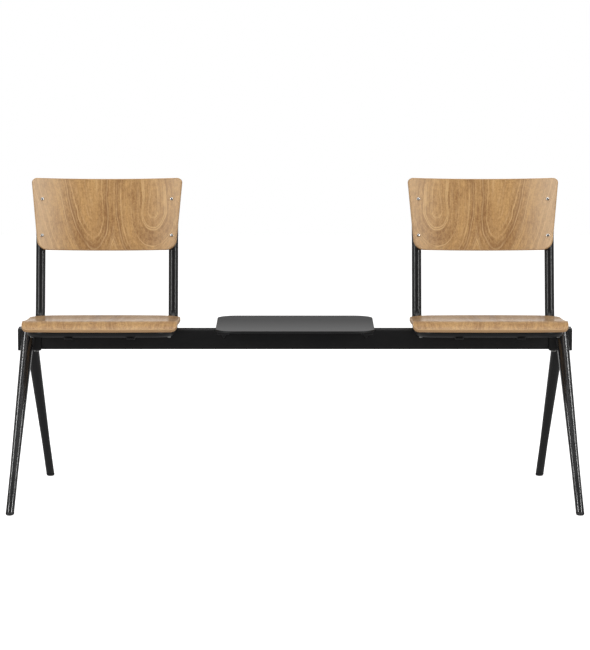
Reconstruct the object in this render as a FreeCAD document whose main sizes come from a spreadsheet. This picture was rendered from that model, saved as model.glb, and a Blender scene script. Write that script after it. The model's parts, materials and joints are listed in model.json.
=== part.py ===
import FreeCAD, Part
import math
import os
import re

import Sketcher

# Companion seat bench: two bent-tube chairs with plywood seats and backs and a small
# table, on one square beam with two pairs of splayed legs.
# Millimetres and degrees. X runs along the beam, -Y is the front, Z is up, and the
# origin is on the floor under the middle of the beam.

doc = FreeCAD.newDocument("CompanionSeatBench")
sheet = doc.addObject("Spreadsheet::Sheet", "Sizes")

sizes = [
    # beam
    ("beamSide", 50, "outside of the square beam tube"),
    ("beamWall", 2.5, "wall of the beam tube"),
    ("beamCorner", 4, "outer corner radius of the beam tube"),
    ("beamAxisHeight", 403.5, "beam axis above the floor"),
    # leg sleeves
    ("sleeveInset", 30.5, "sleeve's inner end, inside the middle of its pair of legs"),
    ("sleeveLength", 55.5, "sleeve length along the beam"),
    ("sleeveWall", 3, "sleeve wall"),
    ("sleeveCorner", 5, "outer corner radius of the sleeve"),
    ("sleeveFit", 0.1, "gap between sleeve and beam"),
    # beam end caps
    ("capFlange", 2.5, "thickness of the cap's flange"),
    ("capReach", 10, "how far the cap reaches into the beam"),
    ("capWall", 2, "wall of the cap's hollow plug"),
    ("capFit", 0.1, "gap between the cap's plug and the beam"),
    # bolts that hold the sleeves
    ("boltInset", 12.5, "from the sleeve's inner end to its first bolt"),
    ("boltSpacing", 24, "distance between the two bolts of a sleeve"),
    ("boltDiameter", 8, "bolt shank"),
    ("boltLength", 16, "shank below the head"),
    ("boltHeadWidth", 14.5, "head and nut across their corners"),
    ("boltHeadHeight", 5.3, "bolt head"),
    ("nutHeight", 6.5, "nut inside the beam"),
    ("boltFit", 0.2, "gap round a bolt in its hole"),
    ("threadFit", 0.05, "gap round a bolt in its nut"),
    # legs
    ("legCentre", 677, "from the bench's middle to where a pair of legs meets"),
    ("legApexRise", 40.6, "the axes of a pair of legs meet this far above the beam's axis"),
    ("footSpread", 305, "from the beam's axis to a foot, front and rear"),
    ("footToe", 30, "front feet stand this much further out, rear feet further in"),
    ("legTopDiameter", 33, "leg tube at the apex height"),
    ("legFootDiameter", 21, "leg tube at the foot"),
    ("legStraight", 120, "untapered length at the foot"),
    ("legWall", 1.8, "wall of the leg tube"),
    ("glideHeight", 8, "foot glide below the tube"),
    ("glideEdge", 3, "rounding of the glide's lower edge"),
    ("glideStem", 24, "glide's stem, up to this height above the floor"),
    ("glideFit", 0.15, "gap round the glide's stem"),
    # seat frame tube
    ("railInset", 14, "outer rail's axis, inside the middle of the pair of legs"),
    ("tubeDiameter", 25, "seat frame tube"),
    ("tubeWall", 2, "wall of the seat frame tube"),
    ("uprightSpacing", 346, "distance between the two uprights, and the two rails"),
    ("railSink", 2.5, "rail axis below the beam's top where it crosses the beam"),
    ("railSlope", 4.4, "rails fall to the rear by this angle"),
    ("crossTubeReach", 156, "front cross tube in front of the beam's axis"),
    ("uprightFoot", 195, "where the upright's axis would meet the rail's, behind the beam"),
    ("reclineAngle", 12, "uprights lean back by this angle"),
    ("uprightShort", 21, "upright's end below the backrest's top edge"),
    ("frontBend", 45, "bend radius at the cross tube's ends"),
    ("rearBend", 55, "bend radius between rail and upright"),
    ("notchFit", 0.15, "gap round a rail in its notch across beam and sleeve"),
    # plugs in the uprights
    ("plugHead", 3, "thickness of the plug's head"),
    ("plugStem", 14, "length of the plug's stem"),
    ("plugFit", 0.15, "gap round the plug's stem"),
    # flat bars between the beam and the cross tube
    ("armSpacing", 156, "distance between the two support arms of a chair"),
    ("armWidth", 20, "support arm"),
    ("armThickness", 5, "support arm"),
    ("armOverhang", 6, "arm runs past the cross tube's axis by this much"),
    ("armGap", 0.05, "gap between arm and cross tube"),
    # plywood seat
    ("seatOverhang", 21.5, "side of the seat beyond the rail's axis"),
    ("seatThickness", 11, "seat plywood"),
    ("seatFrontReach", 192, "front lip in front of the beam's axis"),
    ("seatRearReach", 184, "rear edge behind the beam's axis"),
    ("seatCrestRise", 39, "highest line of the seat, near its front, above the rail's crossing"),
    ("seatLipRadius", 60, "radius of the rolled front, on the upper face"),
    ("seatLipTurn", 44, "how far the rolled front turns down"),
    ("seatDipSlope", 6.3, "fall of the seat just behind its crest"),
    ("seatDipRadius", 4000, "radius of the seat's shallow dip"),
    ("seatBowRadius", 2350, "radius of the front edge, seen from above"),
    ("seatRearBow", 1200, "radius of the rear edge, seen from above"),
    ("seatRearCorner", 70, "radius of the rear corners"),
    ("seatLipCorner", 15, "radius of the front lip's lower corners"),
    # spacers and screws between frame and seat
    ("seatScrewFront", 105, "front screws in front of the beam's axis"),
    ("seatScrewRear", 115, "rear screws behind the beam's axis"),
    ("seatScrewDiameter", 5, "seat screw"),
    ("seatScrewBite", 8, "how far a seat screw enters the plywood"),
    ("seatScrewHead", 9, "seat screw head"),
    ("seatScrewHeadHeight", 3, "seat screw head"),
    ("seatScrewFit", 0.1, "gap round a seat screw"),
    ("spacerDiameter", 22, "plastic spacer between rail and plywood"),
    ("spacerFit", 0.15, "gap between a spacer and what it touches"),
    # backrest
    ("backTopOverhang", 23.5, "top corner of the backrest beyond the upright's axis"),
    ("backBottomOverhang", 6, "bottom corner of the backrest beyond the upright's axis"),
    ("backHeight", 188, "backrest along its slope"),
    ("backTopReach", 386.5, "top edge, along the upright from its foot"),
    ("backThickness", 10, "backrest plywood"),
    ("backBend", 812, "radius of the backrest's rear face, seen from above"),
    ("backTopCorner", 12, "radius of the upper corners"),
    ("backBottomCorner", 28, "radius of the lower corners"),
    ("backFit", 0.1, "gap between backrest and uprights"),
    # backrest rivets
    ("rivetTopInset", 55, "upper rivets below the top edge"),
    ("rivetRowSpacing", 95.5, "distance between the two rows"),
    ("rivetDiameter", 5, "rivet shank"),
    ("rivetHead", 8.8, "rivet head"),
    ("rivetHeadHeight", 2.2, "rivet head"),
    ("rivetFit", 0.05, "gap round a rivet"),
    # table
    ("tableWidth", 400, "table along the beam"),
    ("tableDepth", 340, "table across the beam"),
    ("tableThickness", 6, "table plate"),
    ("tableCorner", 50, "radius of the table's corners"),
    ("tableEdge", 1, "rounding of the table's upper edge"),
    ("bracketCentre", 181, "from the bench's middle to a table bracket"),
    ("bracketWidth", 30, "bracket bar and its ears"),
    ("bracketLength", 260, "bracket bar across the beam"),
    ("bracketHeight", 8, "bracket bar"),
    ("earDepth", 22, "triangular ear below the beam's top"),
    ("earThickness", 3, "triangular ear"),
    ("earScrewDrop", 8, "ear screw below the beam's top"),
    ("earScrewDiameter", 5, "ear screw"),
    ("earScrewLength", 11, "ear screw below its head"),
    ("earScrewHead", 9.5, "ear screw head"),
    ("earScrewHeadHeight", 2.6, "ear screw head"),
    ("tableScrewReach", 105, "table screws in front of and behind the beam's axis"),
    ("tableScrewDiameter", 4, "table screw"),
    ("tableScrewBite", 4.5, "how far a table screw enters the plate"),
    ("tableScrewHead", 8, "table screw head"),
    ("tableScrewHeadHeight", 2.2, "table screw head"),
    ("screwFit", 0.1, "gap round the table's screws"),
    # blocks that only trim other solids
    ("trimReach", 60, "how far a trimming block runs past what it trims"),
]

for row, (alias, number, note) in enumerate(sizes, start=1):
    sheet.set(f"A{row}", note)
    sheet.set(f"B{row}", str(number))
    sheet.setAlias(f"B{row}", alias)
doc.recompute()

aliases = {alias for alias, number, note in sizes}
derived = {
    "sleeveStart": "(legCentre - sleeveInset)",
    "chairCentre": "(legCentre - railInset - uprightSpacing / 2)",
    "seatWidth": "(uprightSpacing + 2 * seatOverhang)",
    "backTopWidth": "(uprightSpacing + 2 * backTopOverhang)",
    "backBottomWidth": "(uprightSpacing + 2 * backBottomOverhang)",
}
sides = (("left", -1), ("right", 1))
ends = (("front", -1), ("rear", 1))
parts = []


def size(alias):
    return float(sheet.get(alias))


def formula(text):
    whole = re.sub(r"[A-Za-z]+", lambda word: derived.get(word[0], word[0]), text)
    return re.sub(r"[A-Za-z]+", lambda word: f"Sizes.{word[0]}" if word[0] in aliases else word[0], whole)


def bind(item, **formulas):
    for prop, text in formulas.items():
        item.setExpression(prop, formula(text))
    return item


def at(x, y, z, turn="rotationz(0)"):
    return f"placement(vector({x}; {y}; {z}); {turn})"


def keep(item, label):
    item.Label = label
    parts.append(item)


# Primitives and booleans

def box(name, x, y, z, place):
    return bind(doc.addObject("Part::Box", name), Length=x, Width=y, Height=z, Placement=place)


def cylinder(name, radius, height, place):
    return bind(doc.addObject("Part::Cylinder", name), Radius=radius, Height=height, Placement=place)


def cut(name, base, tool):
    item = doc.addObject("Part::Cut", name)
    item.Base = base
    item.Tool = tool
    return item


def fuse(name, items):
    item = doc.addObject("Part::MultiFuse", name)
    item.Shapes = items
    return item


def common(name, items):
    item = doc.addObject("Part::MultiCommon", name)
    item.Shapes = items
    return item


def group(name, items):
    item = doc.addObject("Part::Compound", name)
    item.Links = items
    return item


# Bodies padded from an outline whose corners are bound to the sizes

def outlineSketch(body, role, corners):
    plane = next(item for item in body.Origin.OriginFeatures if item.Role == role)
    sketch = body.newObject("Sketcher::SketchObject", f"{body.Name}_outline")
    sketch.AttachmentSupport = [(plane, "")]
    sketch.MapMode = "FlatFace"
    count = len(corners)
    turns = [2 * math.pi * (index + 0.5) / count for index in range(count)]
    points = [FreeCAD.Vector(math.cos(turn), math.sin(turn), 0) for turn in turns]
    for index in range(count):
        sketch.addGeometry(Part.LineSegment(points[index], points[(index + 1) % count]), False)
    for index in range(count):
        sketch.addConstraint(Sketcher.Constraint("Coincident", index, 2, (index + 1) % count, 1))
    for index, corner in enumerate(corners):
        starts = (("DistanceX", points[index].x, -2), ("DistanceY", points[index].y, -1))
        for text, (kind, start, axis) in zip(corner, starts):
            if text == "0":
                sketch.addConstraint(Sketcher.Constraint("PointOnObject", index, 1, axis))
            else:
                number = sketch.addConstraint(Sketcher.Constraint(kind, -1, 1, index, 1, start))
                sketch.setExpression(f"Constraints[{number}]", formula(text))
    return sketch


def paddedBody(name, role, corners, length, symmetric=False):
    body = doc.addObject("PartDesign::Body", name)
    pad = body.newObject("PartDesign::Pad", f"{name}_pad")
    sketch = outlineSketch(body, role, corners)
    pad.Profile = sketch
    if symmetric:
        pad.SideType = "Symmetric"
    bind(pad, Length=length)
    doc.recompute()
    return body, pad


def roundEdges(body, base, radius, wanted):
    fillet = body.newObject("PartDesign::Fillet", f"{base.Name}_round")
    edges = enumerate(base.Shape.Edges, start=1)
    fillet.Base = (base, [f"Edge{number}" for number, edge in edges if wanted(edge)])
    bind(fillet, Radius=radius)
    doc.recompute()
    return fillet


def runsAlong(edge, axis):
    start = edge.valueAt(edge.FirstParameter)
    end = edge.valueAt(edge.LastParameter)
    run = (end - start).normalize()
    return edge.Curve.TypeId == "Part::GeomLine" and abs(run.dot(axis)) > 0.999


alongX = FreeCAD.Vector(1, 0, 0)
alongY = FreeCAD.Vector(0, 1, 0)
alongZ = FreeCAD.Vector(0, 0, 1)


def rectangle(low, high):
    return [(low[0], low[1]), (high[0], low[1]), (high[0], high[1]), (low[0], high[1])]


def squareBar(name, length, side, corner, place):
    half = f"({side}) / 2"
    body, pad = paddedBody(name, "YZ_Plane", rectangle((f"-{half}", f"-{half}"), (half, half)), length)
    roundEdges(body, pad, corner, lambda edge: runsAlong(edge, alongX))
    return bind(body, Placement=place)


def squareTube(name, length, side, wall, corner, place):
    outer = squareBar(f"{name}_outer", length, side, corner, place)
    inner = squareBar(f"{name}_bore", length, f"{side} - 2 * {wall}", f"{corner} - {wall}", place)
    return cut(f"{name}_tube", outer, inner)


# Places that several pieces share

beamTop = "(beamAxisHeight + beamSide / 2)"
legApexHeight = "(beamAxisHeight + legApexRise)"
beamEnd = "(sleeveStart + sleeveLength)"
sleeveSide = "(beamSide + 2 * sleeveFit + 2 * sleeveWall)"
sleeveBottom = f"(beamAxisHeight - {sleeveSide} / 2)"
tubeRadius = "(tubeDiameter / 2)"
railHeight = f"({beamTop} - railSink)"
uprightReach = "(backTopReach - uprightShort)"


def railAxisHeight(y):
    return f"({railHeight} - ({y}) * tan(railSlope))"


def railCrossing():
    # the same height as railHeight, as a number for the outlines that are drawn
    return size("beamAxisHeight") + size("beamSide") / 2 - size("railSink")


def boltPlaces(side, z):
    return [at(f"{side} * (sleeveStart + boltInset + {step} * boltSpacing)", "0", z) for step in (0, 1)]


def railHoles(name, side):
    # one cylinder along each rail of a chair, a little larger than the tube
    holes = []
    for step in (-1, 1):
        x = f"{side} * chairCentre + {step} * uprightSpacing / 2"
        place = at(x, "-beamSide", railAxisHeight("-beamSide"), "rotationx(-90 - railSlope)")
        holes.append(cylinder(f"{name}_notch", f"{tubeRadius} + notchFit", "2 * beamSide", place))
    return holes


def boltHoles(name, side):
    radius = "boltDiameter / 2 + boltFit"
    places = boltPlaces(side, f"{sleeveBottom} - trimReach / 2")
    return [cylinder(f"{name}_bolt_hole", radius, "trimReach", place) for place in places]


def earScrewPlace(side, end):
    y = f"{end} * (beamSide / 2 + earThickness)"
    return at(f"{side} * bracketCentre", y, f"{beamTop} - earScrewDrop", f"rotationx({end} * 90)")


def earScrewHole(name, side, end):
    return cylinder(name, "earScrewDiameter / 2 + screwFit", "earScrewLength", earScrewPlace(side, end))


# Beam

def makeBeam():
    place = at(f"-{beamEnd}", "0", "beamAxisHeight")
    tube = squareTube("beam", f"2 * {beamEnd}", "beamSide", "beamWall", "beamCorner", place)
    tools = []
    for word, side in sides:
        tools += railHoles(f"beam_{word}", side)
        tools += boltHoles(f"beam_{word}", side)
        for endWord, end in ends:
            tools.append(earScrewHole(f"beam_{word}_{endWord}_ear_hole", side, end))
    keep(cut("beam", tube, group("beam_holes", tools)), "beam")


def makeEndCap(word, side):
    # flange over the ends of beam and sleeve, and a hollow plug inside the beam
    name = f"beam_end_cap_{word}"
    flangeStart = beamEnd if side > 0 else f"-{beamEnd} - capFlange"
    plugStart = f"{beamEnd} - capReach" if side > 0 else f"-{beamEnd}"
    plugSide = "beamSide - 2 * beamWall - 2 * capFit"
    plugCorner = "beamCorner - beamWall"
    flangePlace = at(flangeStart, "0", "beamAxisHeight")
    plugPlace = at(plugStart, "0", "beamAxisHeight")
    flange = squareBar(f"{name}_flange", "capFlange", sleeveSide, "sleeveCorner", flangePlace)
    plug = squareBar(f"{name}_plug", "capReach", plugSide, plugCorner, plugPlace)
    hollowSide = f"{plugSide} - 2 * capWall"
    halfHollow = f"-({hollowSide}) / 2"
    hollow = box(f"{name}_hollow", "capReach", hollowSide, hollowSide,
                 at(plugStart, halfHollow, f"beamAxisHeight + {halfHollow}"))
    keep(fuse(name, [flange, cut(f"{name}_hollow_plug", plug, hollow)]), name)


def makeSleeve(word, side):
    name = f"leg_sleeve_{word}"
    start = "sleeveStart" if side > 0 else f"-{beamEnd}"
    tube = squareTube(name, "sleeveLength", sleeveSide, "sleeveWall", "sleeveCorner",
                      at(start, "0", "beamAxisHeight"))
    holes = group(f"{name}_holes", railHoles(name, side) + boltHoles(name, side))
    keep(cut(name, tube, holes), name)


def makeSleeveBolts(word, side):
    bolts = []
    nuts = []
    nutBottom = f"{sleeveBottom} + sleeveWall + sleeveFit + beamWall"
    for place, nutPlace, hole in zip(boltPlaces(side, sleeveBottom), boltPlaces(side, nutBottom), (1, 2)):
        label = f"{word}_{hole}"
        shank = cylinder(f"bolt_shank_{label}", "boltDiameter / 2", "boltLength", place)
        head = doc.addObject("Part::Prism", f"bolt_head_{label}")
        head.Polygon = 6
        bind(head, Circumradius="boltHeadWidth / 2", Height="boltHeadHeight",
             Placement=f"{place} * {at('0', '0', '-boltHeadHeight')}")
        bolts.append(fuse(f"bolt_{label}", [shank, head]))
        nut = doc.addObject("Part::Prism", f"nut_blank_{label}")
        nut.Polygon = 6
        bind(nut, Circumradius="boltHeadWidth / 2", Height="nutHeight", Placement=nutPlace)
        thread = cylinder(f"nut_thread_{label}", "boltDiameter / 2 + threadFit", "nutHeight", nutPlace)
        nuts.append(cut(f"nut_{label}", nut, thread))
    keep(group(f"sleeve_bolts_{word}", bolts), f"sleeve_bolts_{word}")
    keep(group(f"sleeve_nuts_{word}", nuts), f"sleeve_nuts_{word}")


# Legs: straight at the foot, tapered above, flat against the sleeve and notched round the rail

onFloor = 0.001  # an edge lower than this lies on the floor


def makeLeg(word, side, endWord, end):
    name = f"{endWord}_leg_{word}"
    footX = f"{side} * (legCentre - {end} * footToe)"
    lean = f"rotation(vector(0; 0; 1); vector({side * end} * footToe; {-end} * footSpread; {legApexHeight}))"
    foot = at(footX, f"{end} * footSpread", "0", lean)
    axisLength = f"sqrt(footToe ^ 2 + footSpread ^ 2 + {legApexHeight} ^ 2)"

    def tapered(label, inset):
        start = f"{foot} * {at('0', '0', '-trimReach')}"
        straight = cylinder(f"{label}_straight", f"legFootDiameter / 2 - {inset}", "legStraight + trimReach", start)
        taper = bind(doc.addObject("Part::Cone", f"{label}_taper"),
                     Radius1=f"legFootDiameter / 2 - {inset}", Radius2=f"legTopDiameter / 2 - {inset}",
                     Height=f"{axisLength} - legStraight", Placement=f"{foot} * {at('0', '0', 'legStraight')}")
        return fuse(label, [straight, taper])

    def layer(label, low, high):
        # the slab between two heights, on the leg's side of the sleeve's face
        width = "2 * (footToe + trimReach)"
        depth = f"footSpread + trimReach - {sleeveSide} / 2"
        near = f"{sleeveSide} / 2" if end > 0 else "-footSpread - trimReach"
        place = at(f"{side} * legCentre - footToe - trimReach", near, low)
        return box(label, width, depth, f"({high}) - ({low})", place)

    outer = tapered(f"{name}_outer", "0")
    bore = tapered(f"{name}_bore", "legWall")
    tube = cut(f"{name}_whole", outer, bore)
    mitred = common(f"{name}_mitred", [tube, layer(f"{name}_layer", "glideHeight", legApexHeight)])
    keep(cut(name, mitred, group(f"{name}_notches", railHoles(name, side))), name)

    pad = common(f"{name}_glide_pad", [outer, layer(f"{name}_pad_layer", "0", "glideHeight")])
    doc.recompute()
    edges = enumerate(pad.Shape.Edges, start=1)
    rounded = doc.addObject("Part::Fillet", f"{name}_glide_rounded")
    rounded.Base = pad
    rounded.Edges = [(number, size("glideEdge"), size("glideEdge"))
                     for number, edge in edges if edge.BoundBox.ZMax < onFloor]
    stem = common(f"{name}_glide_stem", [tapered(f"{name}_stem", "legWall - glideFit"),
                                         layer(f"{name}_stem_layer", "glideHeight", "glideStem")])
    keep(fuse(f"{name}_glide", [rounded, stem]), f"foot_glide_{endWord}_{word}")


# Seat frame: one tube, from the top of one upright through the front cross tube to the other

def bentPath(points, radii):
    edges = []
    start = points[0]
    for before, corner, after, radius in zip(points, points[1:], points[2:], radii):
        back = (before - corner).normalize()
        ahead = (after - corner).normalize()
        half = back.getAngle(ahead) / 2
        reach = radius / math.tan(half)
        middle = corner + (back + ahead).normalize() * (radius / math.sin(half) - radius)
        edges.append(Part.LineSegment(start, corner + back * reach).toShape())
        edges.append(Part.Arc(corner + back * reach, middle, corner + ahead * reach).toShape())
        start = corner + ahead * reach
    edges.append(Part.LineSegment(start, points[-1]).toShape())
    return Part.Wire(edges)


def sweptRod(path, radius):
    start = path.Edges[0].valueAt(path.Edges[0].FirstParameter)
    along = path.Edges[0].tangentAt(path.Edges[0].FirstParameter)
    ring = Part.Wire([Part.Circle(start, along, radius).toShape()])
    return path.makePipeShell([ring], True, False)


def framePath():
    fall = math.tan(math.radians(size("railSlope")))
    lean = math.radians(size("reclineAngle"))
    halfWidth = size("uprightSpacing") / 2
    footHeight = railCrossing() - size("uprightFoot") * fall
    reach = size("backTopReach") - size("uprightShort")
    front = (-size("crossTubeReach"), railCrossing() + size("crossTubeReach") * fall)
    foot = (size("uprightFoot"), footHeight)
    top = (foot[0] + reach * math.sin(lean), foot[1] + reach * math.cos(lean))
    left = [FreeCAD.Vector(-halfWidth, y, z) for y, z in (top, foot, front)]
    right = [FreeCAD.Vector(halfWidth, y, z) for y, z in (front, foot, top)]
    rear = size("rearBend")
    corner = size("frontBend")
    return bentPath(left + right, (rear, corner, corner, rear))


def uprightPlace(side):
    # frame at the upright's foot: its Z runs up the upright, its Y runs back
    return at(f"{side} * chairCentre", "uprightFoot", railAxisHeight("uprightFoot"), "rotationx(-reclineAngle)")


backAxis = f"(-sqrt((backBend + backFit + {tubeRadius}) ^ 2 - (uprightSpacing / 2) ^ 2))"


def rivetPlaces(side):
    places = []
    for drop in ("rivetTopInset", "(rivetTopInset + rivetRowSpacing)"):
        for step in (-1, 1):
            aim = f"rotation(vector(0; 0; 1); vector({step} * uprightSpacing / 2; -{backAxis}; 0))"
            places.append(f"{uprightPlace(side)} * {at('0', backAxis, f'backTopReach - {drop}', aim)}")
    return places


def seatScrewPlaces(side):
    # frames on the rail's axis, their Z square to the rail
    places = []
    for y in ("-seatScrewFront", "seatScrewRear"):
        for step in (-1, 1):
            x = f"{side} * chairCentre + {step} * uprightSpacing / 2"
            places.append((y, at(x, y, railAxisHeight(y), "rotationx(-railSlope)")))
    return places


def makeSeatFrame(word, side):
    name = f"seat_frame_{word}"
    pipe = doc.addObject("Part::Feature", f"{name}_pipe")
    path = framePath()
    pipe.Shape = sweptRod(path, size("tubeDiameter") / 2).cut(
        sweptRod(path, size("tubeDiameter") / 2 - size("tubeWall")))
    bind(pipe, Placement=at(f"{side} * chairCentre", "0", "0"))
    tools = []
    for number, place in enumerate(rivetPlaces(side), start=1):
        inner = f"{place} * {at('0', '0', 'backBend')}"
        tools.append(cylinder(f"{name}_rivet_hole_{number}", "rivetDiameter / 2 + rivetFit",
                              "tubeDiameter + 2 * backFit", inner))
    for number, (y, place) in enumerate(seatScrewPlaces(side), start=1):
        lower = f"{place} * {at('0', '0', '-tubeDiameter')}"
        tools.append(cylinder(f"{name}_screw_hole_{number}", "seatScrewDiameter / 2 + seatScrewFit",
                              "2 * tubeDiameter", lower))
    keep(cut(name, pipe, group(f"{name}_holes", tools)), name)


def makeFramePlugs(word, side):
    plugs = []
    for step in (-1, 1):
        name = f"frame_plug_{word}_{'left' if step < 0 else 'right'}"
        x = f"{step} * uprightSpacing / 2"
        head = cylinder(f"{name}_head", tubeRadius, "plugHead",
                        f"{uprightPlace(side)} * {at(x, '0', uprightReach)}")
        stem = cylinder(f"{name}_stem", f"{tubeRadius} - tubeWall - plugFit", "plugStem",
                        f"{uprightPlace(side)} * {at(x, '0', f'{uprightReach} - plugStem')}")
        plugs.append(fuse(name, [head, stem]))
    keep(group(f"frame_plugs_{word}", plugs), f"frame_plugs_{word}")


def makeSupportArms(word, side):
    # flat bars under the cross tube that butt against the beam's front face
    reach = "crossTubeReach / cos(railSlope)"
    beamBlock = box(f"arm_trim_{word}", "2 * chairCentre", "beamSide", "beamSide",
                    at(f"{side} * chairCentre - chairCentre", "-beamSide / 2", "beamAxisHeight - beamSide / 2"))
    bars = []
    for step in (-1, 1):
        rail = at(f"{side} * chairCentre + {step} * armSpacing / 2", "0", railHeight, "rotationx(-railSlope)")
        low = at("-armWidth / 2", f"-({reach}) - armOverhang", f"-{tubeRadius} - armGap - armThickness")
        bars.append(box(f"arm_bar_{word}", "armWidth", f"{reach} + armOverhang", "armThickness", f"{rail} * {low}"))
    name = f"front_support_arms_{word}"
    keep(cut(name, group(f"arm_bars_{word}", bars), beamBlock), name)


# Seat: a plywood profile swept round a distant upright axis, then trimmed to its outline

seatBowAxis = "(seatBowRadius - seatFrontReach)"
seatCrest = "(seatLipRadius * sin(seatLipTurn) - seatFrontReach)"
seatDipY = f"({seatCrest} + (seatLipRadius + seatDipRadius) * sin(seatDipSlope))"
seatCrestHeight = f"({railHeight} + seatCrestRise)"
seatDipZ = f"({seatCrestHeight} - seatLipRadius + (seatLipRadius + seatDipRadius) * cos(seatDipSlope))"
seatLipBottom = f"({seatCrestHeight} - seatLipRadius + (seatLipRadius - seatThickness) * cos(seatLipTurn))"
seatBowedRail = f"({seatBowAxis} - sqrt((uprightSpacing / 2) ^ 2 + ({seatBowAxis} - (%s)) ^ 2))"


def seatUnderside(y):
    bowed = seatBowedRail % y
    return f"({seatDipZ} - sqrt((seatDipRadius + seatThickness) ^ 2 - ({bowed} - {seatDipY}) ^ 2))"


def seatFall(y):
    bowed = seatBowedRail % y
    return f"atan(({seatDipY} - {bowed}) / ({seatDipZ} - {seatUnderside(y)}))"


def seatProfile():
    lip = size("seatLipRadius")
    dip = size("seatDipRadius")
    thick = size("seatThickness")
    turn = math.radians(size("seatLipTurn"))
    slope = math.radians(size("seatDipSlope"))
    height = railCrossing() + size("seatCrestRise") - lip
    crest = FreeCAD.Vector(0, lip * math.sin(turn) - size("seatFrontReach"), height)

    def ray(angle):
        return FreeCAD.Vector(0, math.sin(angle), math.cos(angle))

    hollow = crest + ray(slope) * (lip + dip)
    rear = math.asin((size("seatRearReach") + size("seatThickness") - hollow.y) / dip)
    joint = math.pi + slope
    edges = []
    for drop in (0, thick):
        edges.append(Part.Arc(crest + ray(-turn) * (lip - drop), crest + ray((slope - turn) / 2) * (lip - drop),
                              crest + ray(slope) * (lip - drop)).toShape())
        edges.append(Part.Arc(hollow + ray(joint) * (dip + drop),
                              hollow + ray((joint + math.pi - rear) / 2) * (dip + drop),
                              hollow + ray(math.pi - rear) * (dip + drop)).toShape())
    edges.append(Part.LineSegment(crest + ray(-turn) * lip, crest + ray(-turn) * (lip - thick)).toShape())
    edges.append(Part.LineSegment(hollow + ray(math.pi - rear) * dip,
                                  hollow + ray(math.pi - rear) * (dip + thick)).toShape())
    return Part.Wire(Part.__sortEdges__(edges))


def makeSeat(word, side):
    name = f"seat_{word}"
    profile = doc.addObject("Part::Feature", f"{name}_profile")
    profile.Shape = seatProfile()
    sweep = doc.addObject("Part::Revolution", f"{name}_sweep")
    sweep.Source = profile
    sweep.Axis = alongZ
    sweep.Symmetric = True
    sweep.Solid = True
    bind(sweep, Base=f"vector(0; {seatBowAxis}; 0)", Angle="4 * asin(seatWidth / 2 / seatBowRadius)")
    corners = rectangle(("-seatWidth / 2", "-seatFrontReach - trimReach"), ("seatWidth / 2", "seatRearReach"))
    outline, pad = paddedBody(f"{name}_outline", "XY_Plane", corners, "3 * trimReach")
    roundEdges(outline, pad, "seatRearCorner",
               lambda edge: runsAlong(edge, alongZ) and edge.CenterOfMass.y > 0)
    low = f"{seatCrestHeight} - 2 * trimReach"
    bind(outline, Placement=at("0", "0", low))
    bow = cylinder(f"{name}_rear_bow", "seatRearBow", "3 * trimReach",
                   at("0", "seatRearReach - seatRearBow", low))
    blank = common(f"{name}_blank", [sweep, outline, bow])
    tools = []
    for step in (-1, 1):
        x = f"{step} * seatWidth / 2"
        start = f"{x} - seatLipCorner" if step > 0 else f"{x} - trimReach"
        length = f"{seatCrest} + seatFrontReach + trimReach"
        corner = box(f"{name}_corner", "seatLipCorner + trimReach", length, "seatLipCorner + trimReach",
                     at(start, "-seatFrontReach - trimReach", f"{seatLipBottom} - trimReach"))
        centre = at(f"{x} - {step} * seatLipCorner", "-seatFrontReach - trimReach",
                    f"{seatLipBottom} + seatLipCorner", "rotationx(-90)")
        tools.append(cut(f"{name}_corner_tool", corner,
                         cylinder(f"{name}_corner_round", "seatLipCorner", length, centre)))
    for number, (y, place) in enumerate(seatScrewPlaces(0), start=1):
        height = f"({seatUnderside(y)} - {railAxisHeight(y)}) + seatScrewBite"
        tools.append(cylinder(f"{name}_screw_hole_{number}", "seatScrewDiameter / 2 + seatScrewFit", height, place))
    seat = cut(name, blank, group(f"{name}_tools", tools))
    bind(seat, Placement=at(f"{side} * chairCentre", "0", "0"))
    keep(seat, name)


def makeSeatFixings(word, side):
    spacers = []
    screws = []
    for number, (y, place) in enumerate(seatScrewPlaces(side), start=1):
        label = f"{word}_{number}"
        height = f"({seatUnderside(y)} - {railAxisHeight(y)})"
        post = cylinder(f"spacer_post_{label}", "spacerDiameter / 2", f"{height} + tubeDiameter", place)
        rail = cylinder(f"spacer_rail_{label}", f"{tubeRadius} + spacerFit", "2 * spacerDiameter",
                        f"{place} * {at('0', '-spacerDiameter', '0', 'rotationx(-90)')}")
        hole = cylinder(f"spacer_hole_{label}", "seatScrewDiameter / 2 + seatScrewFit",
                        f"{height} + tubeDiameter", place)
        saddle = cut(f"spacer_saddle_{label}", post, group(f"spacer_tools_{label}", [rail, hole]))
        step = "-1" if number % 2 else "1"
        under = at(f"{side} * chairCentre + {step} * uprightSpacing / 2", y,
                   f"{seatUnderside(y)} - spacerFit", f"rotationx(-{seatFall(y)})")
        block = box(f"spacer_block_{label}", "2 * spacerDiameter", "2 * spacerDiameter", "2 * spacerDiameter",
                    f"{under} * {at('-spacerDiameter', '-spacerDiameter', '-2 * spacerDiameter')}")
        spacers.append(common(f"spacer_{label}", [saddle, block]))
        shank = cylinder(f"seat_screw_shank_{label}", "seatScrewDiameter / 2",
                         f"{height} + {tubeRadius} + seatScrewBite", f"{place} * {at('0', '0', f'-{tubeRadius}')}")
        head = cylinder(f"seat_screw_head_{label}", "seatScrewHead / 2", "seatScrewHeadHeight",
                        f"{place} * {at('0', '0', f'-{tubeRadius} - seatScrewHeadHeight')}")
        screws.append(fuse(f"seat_screw_{label}", [shank, head]))
    keep(group(f"seat_spacers_{word}", spacers), f"seat_spacers_{word}")
    keep(group(f"seat_screws_{word}", screws), f"seat_screws_{word}")


# Backrest: a bent board in front of the uprights

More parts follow.
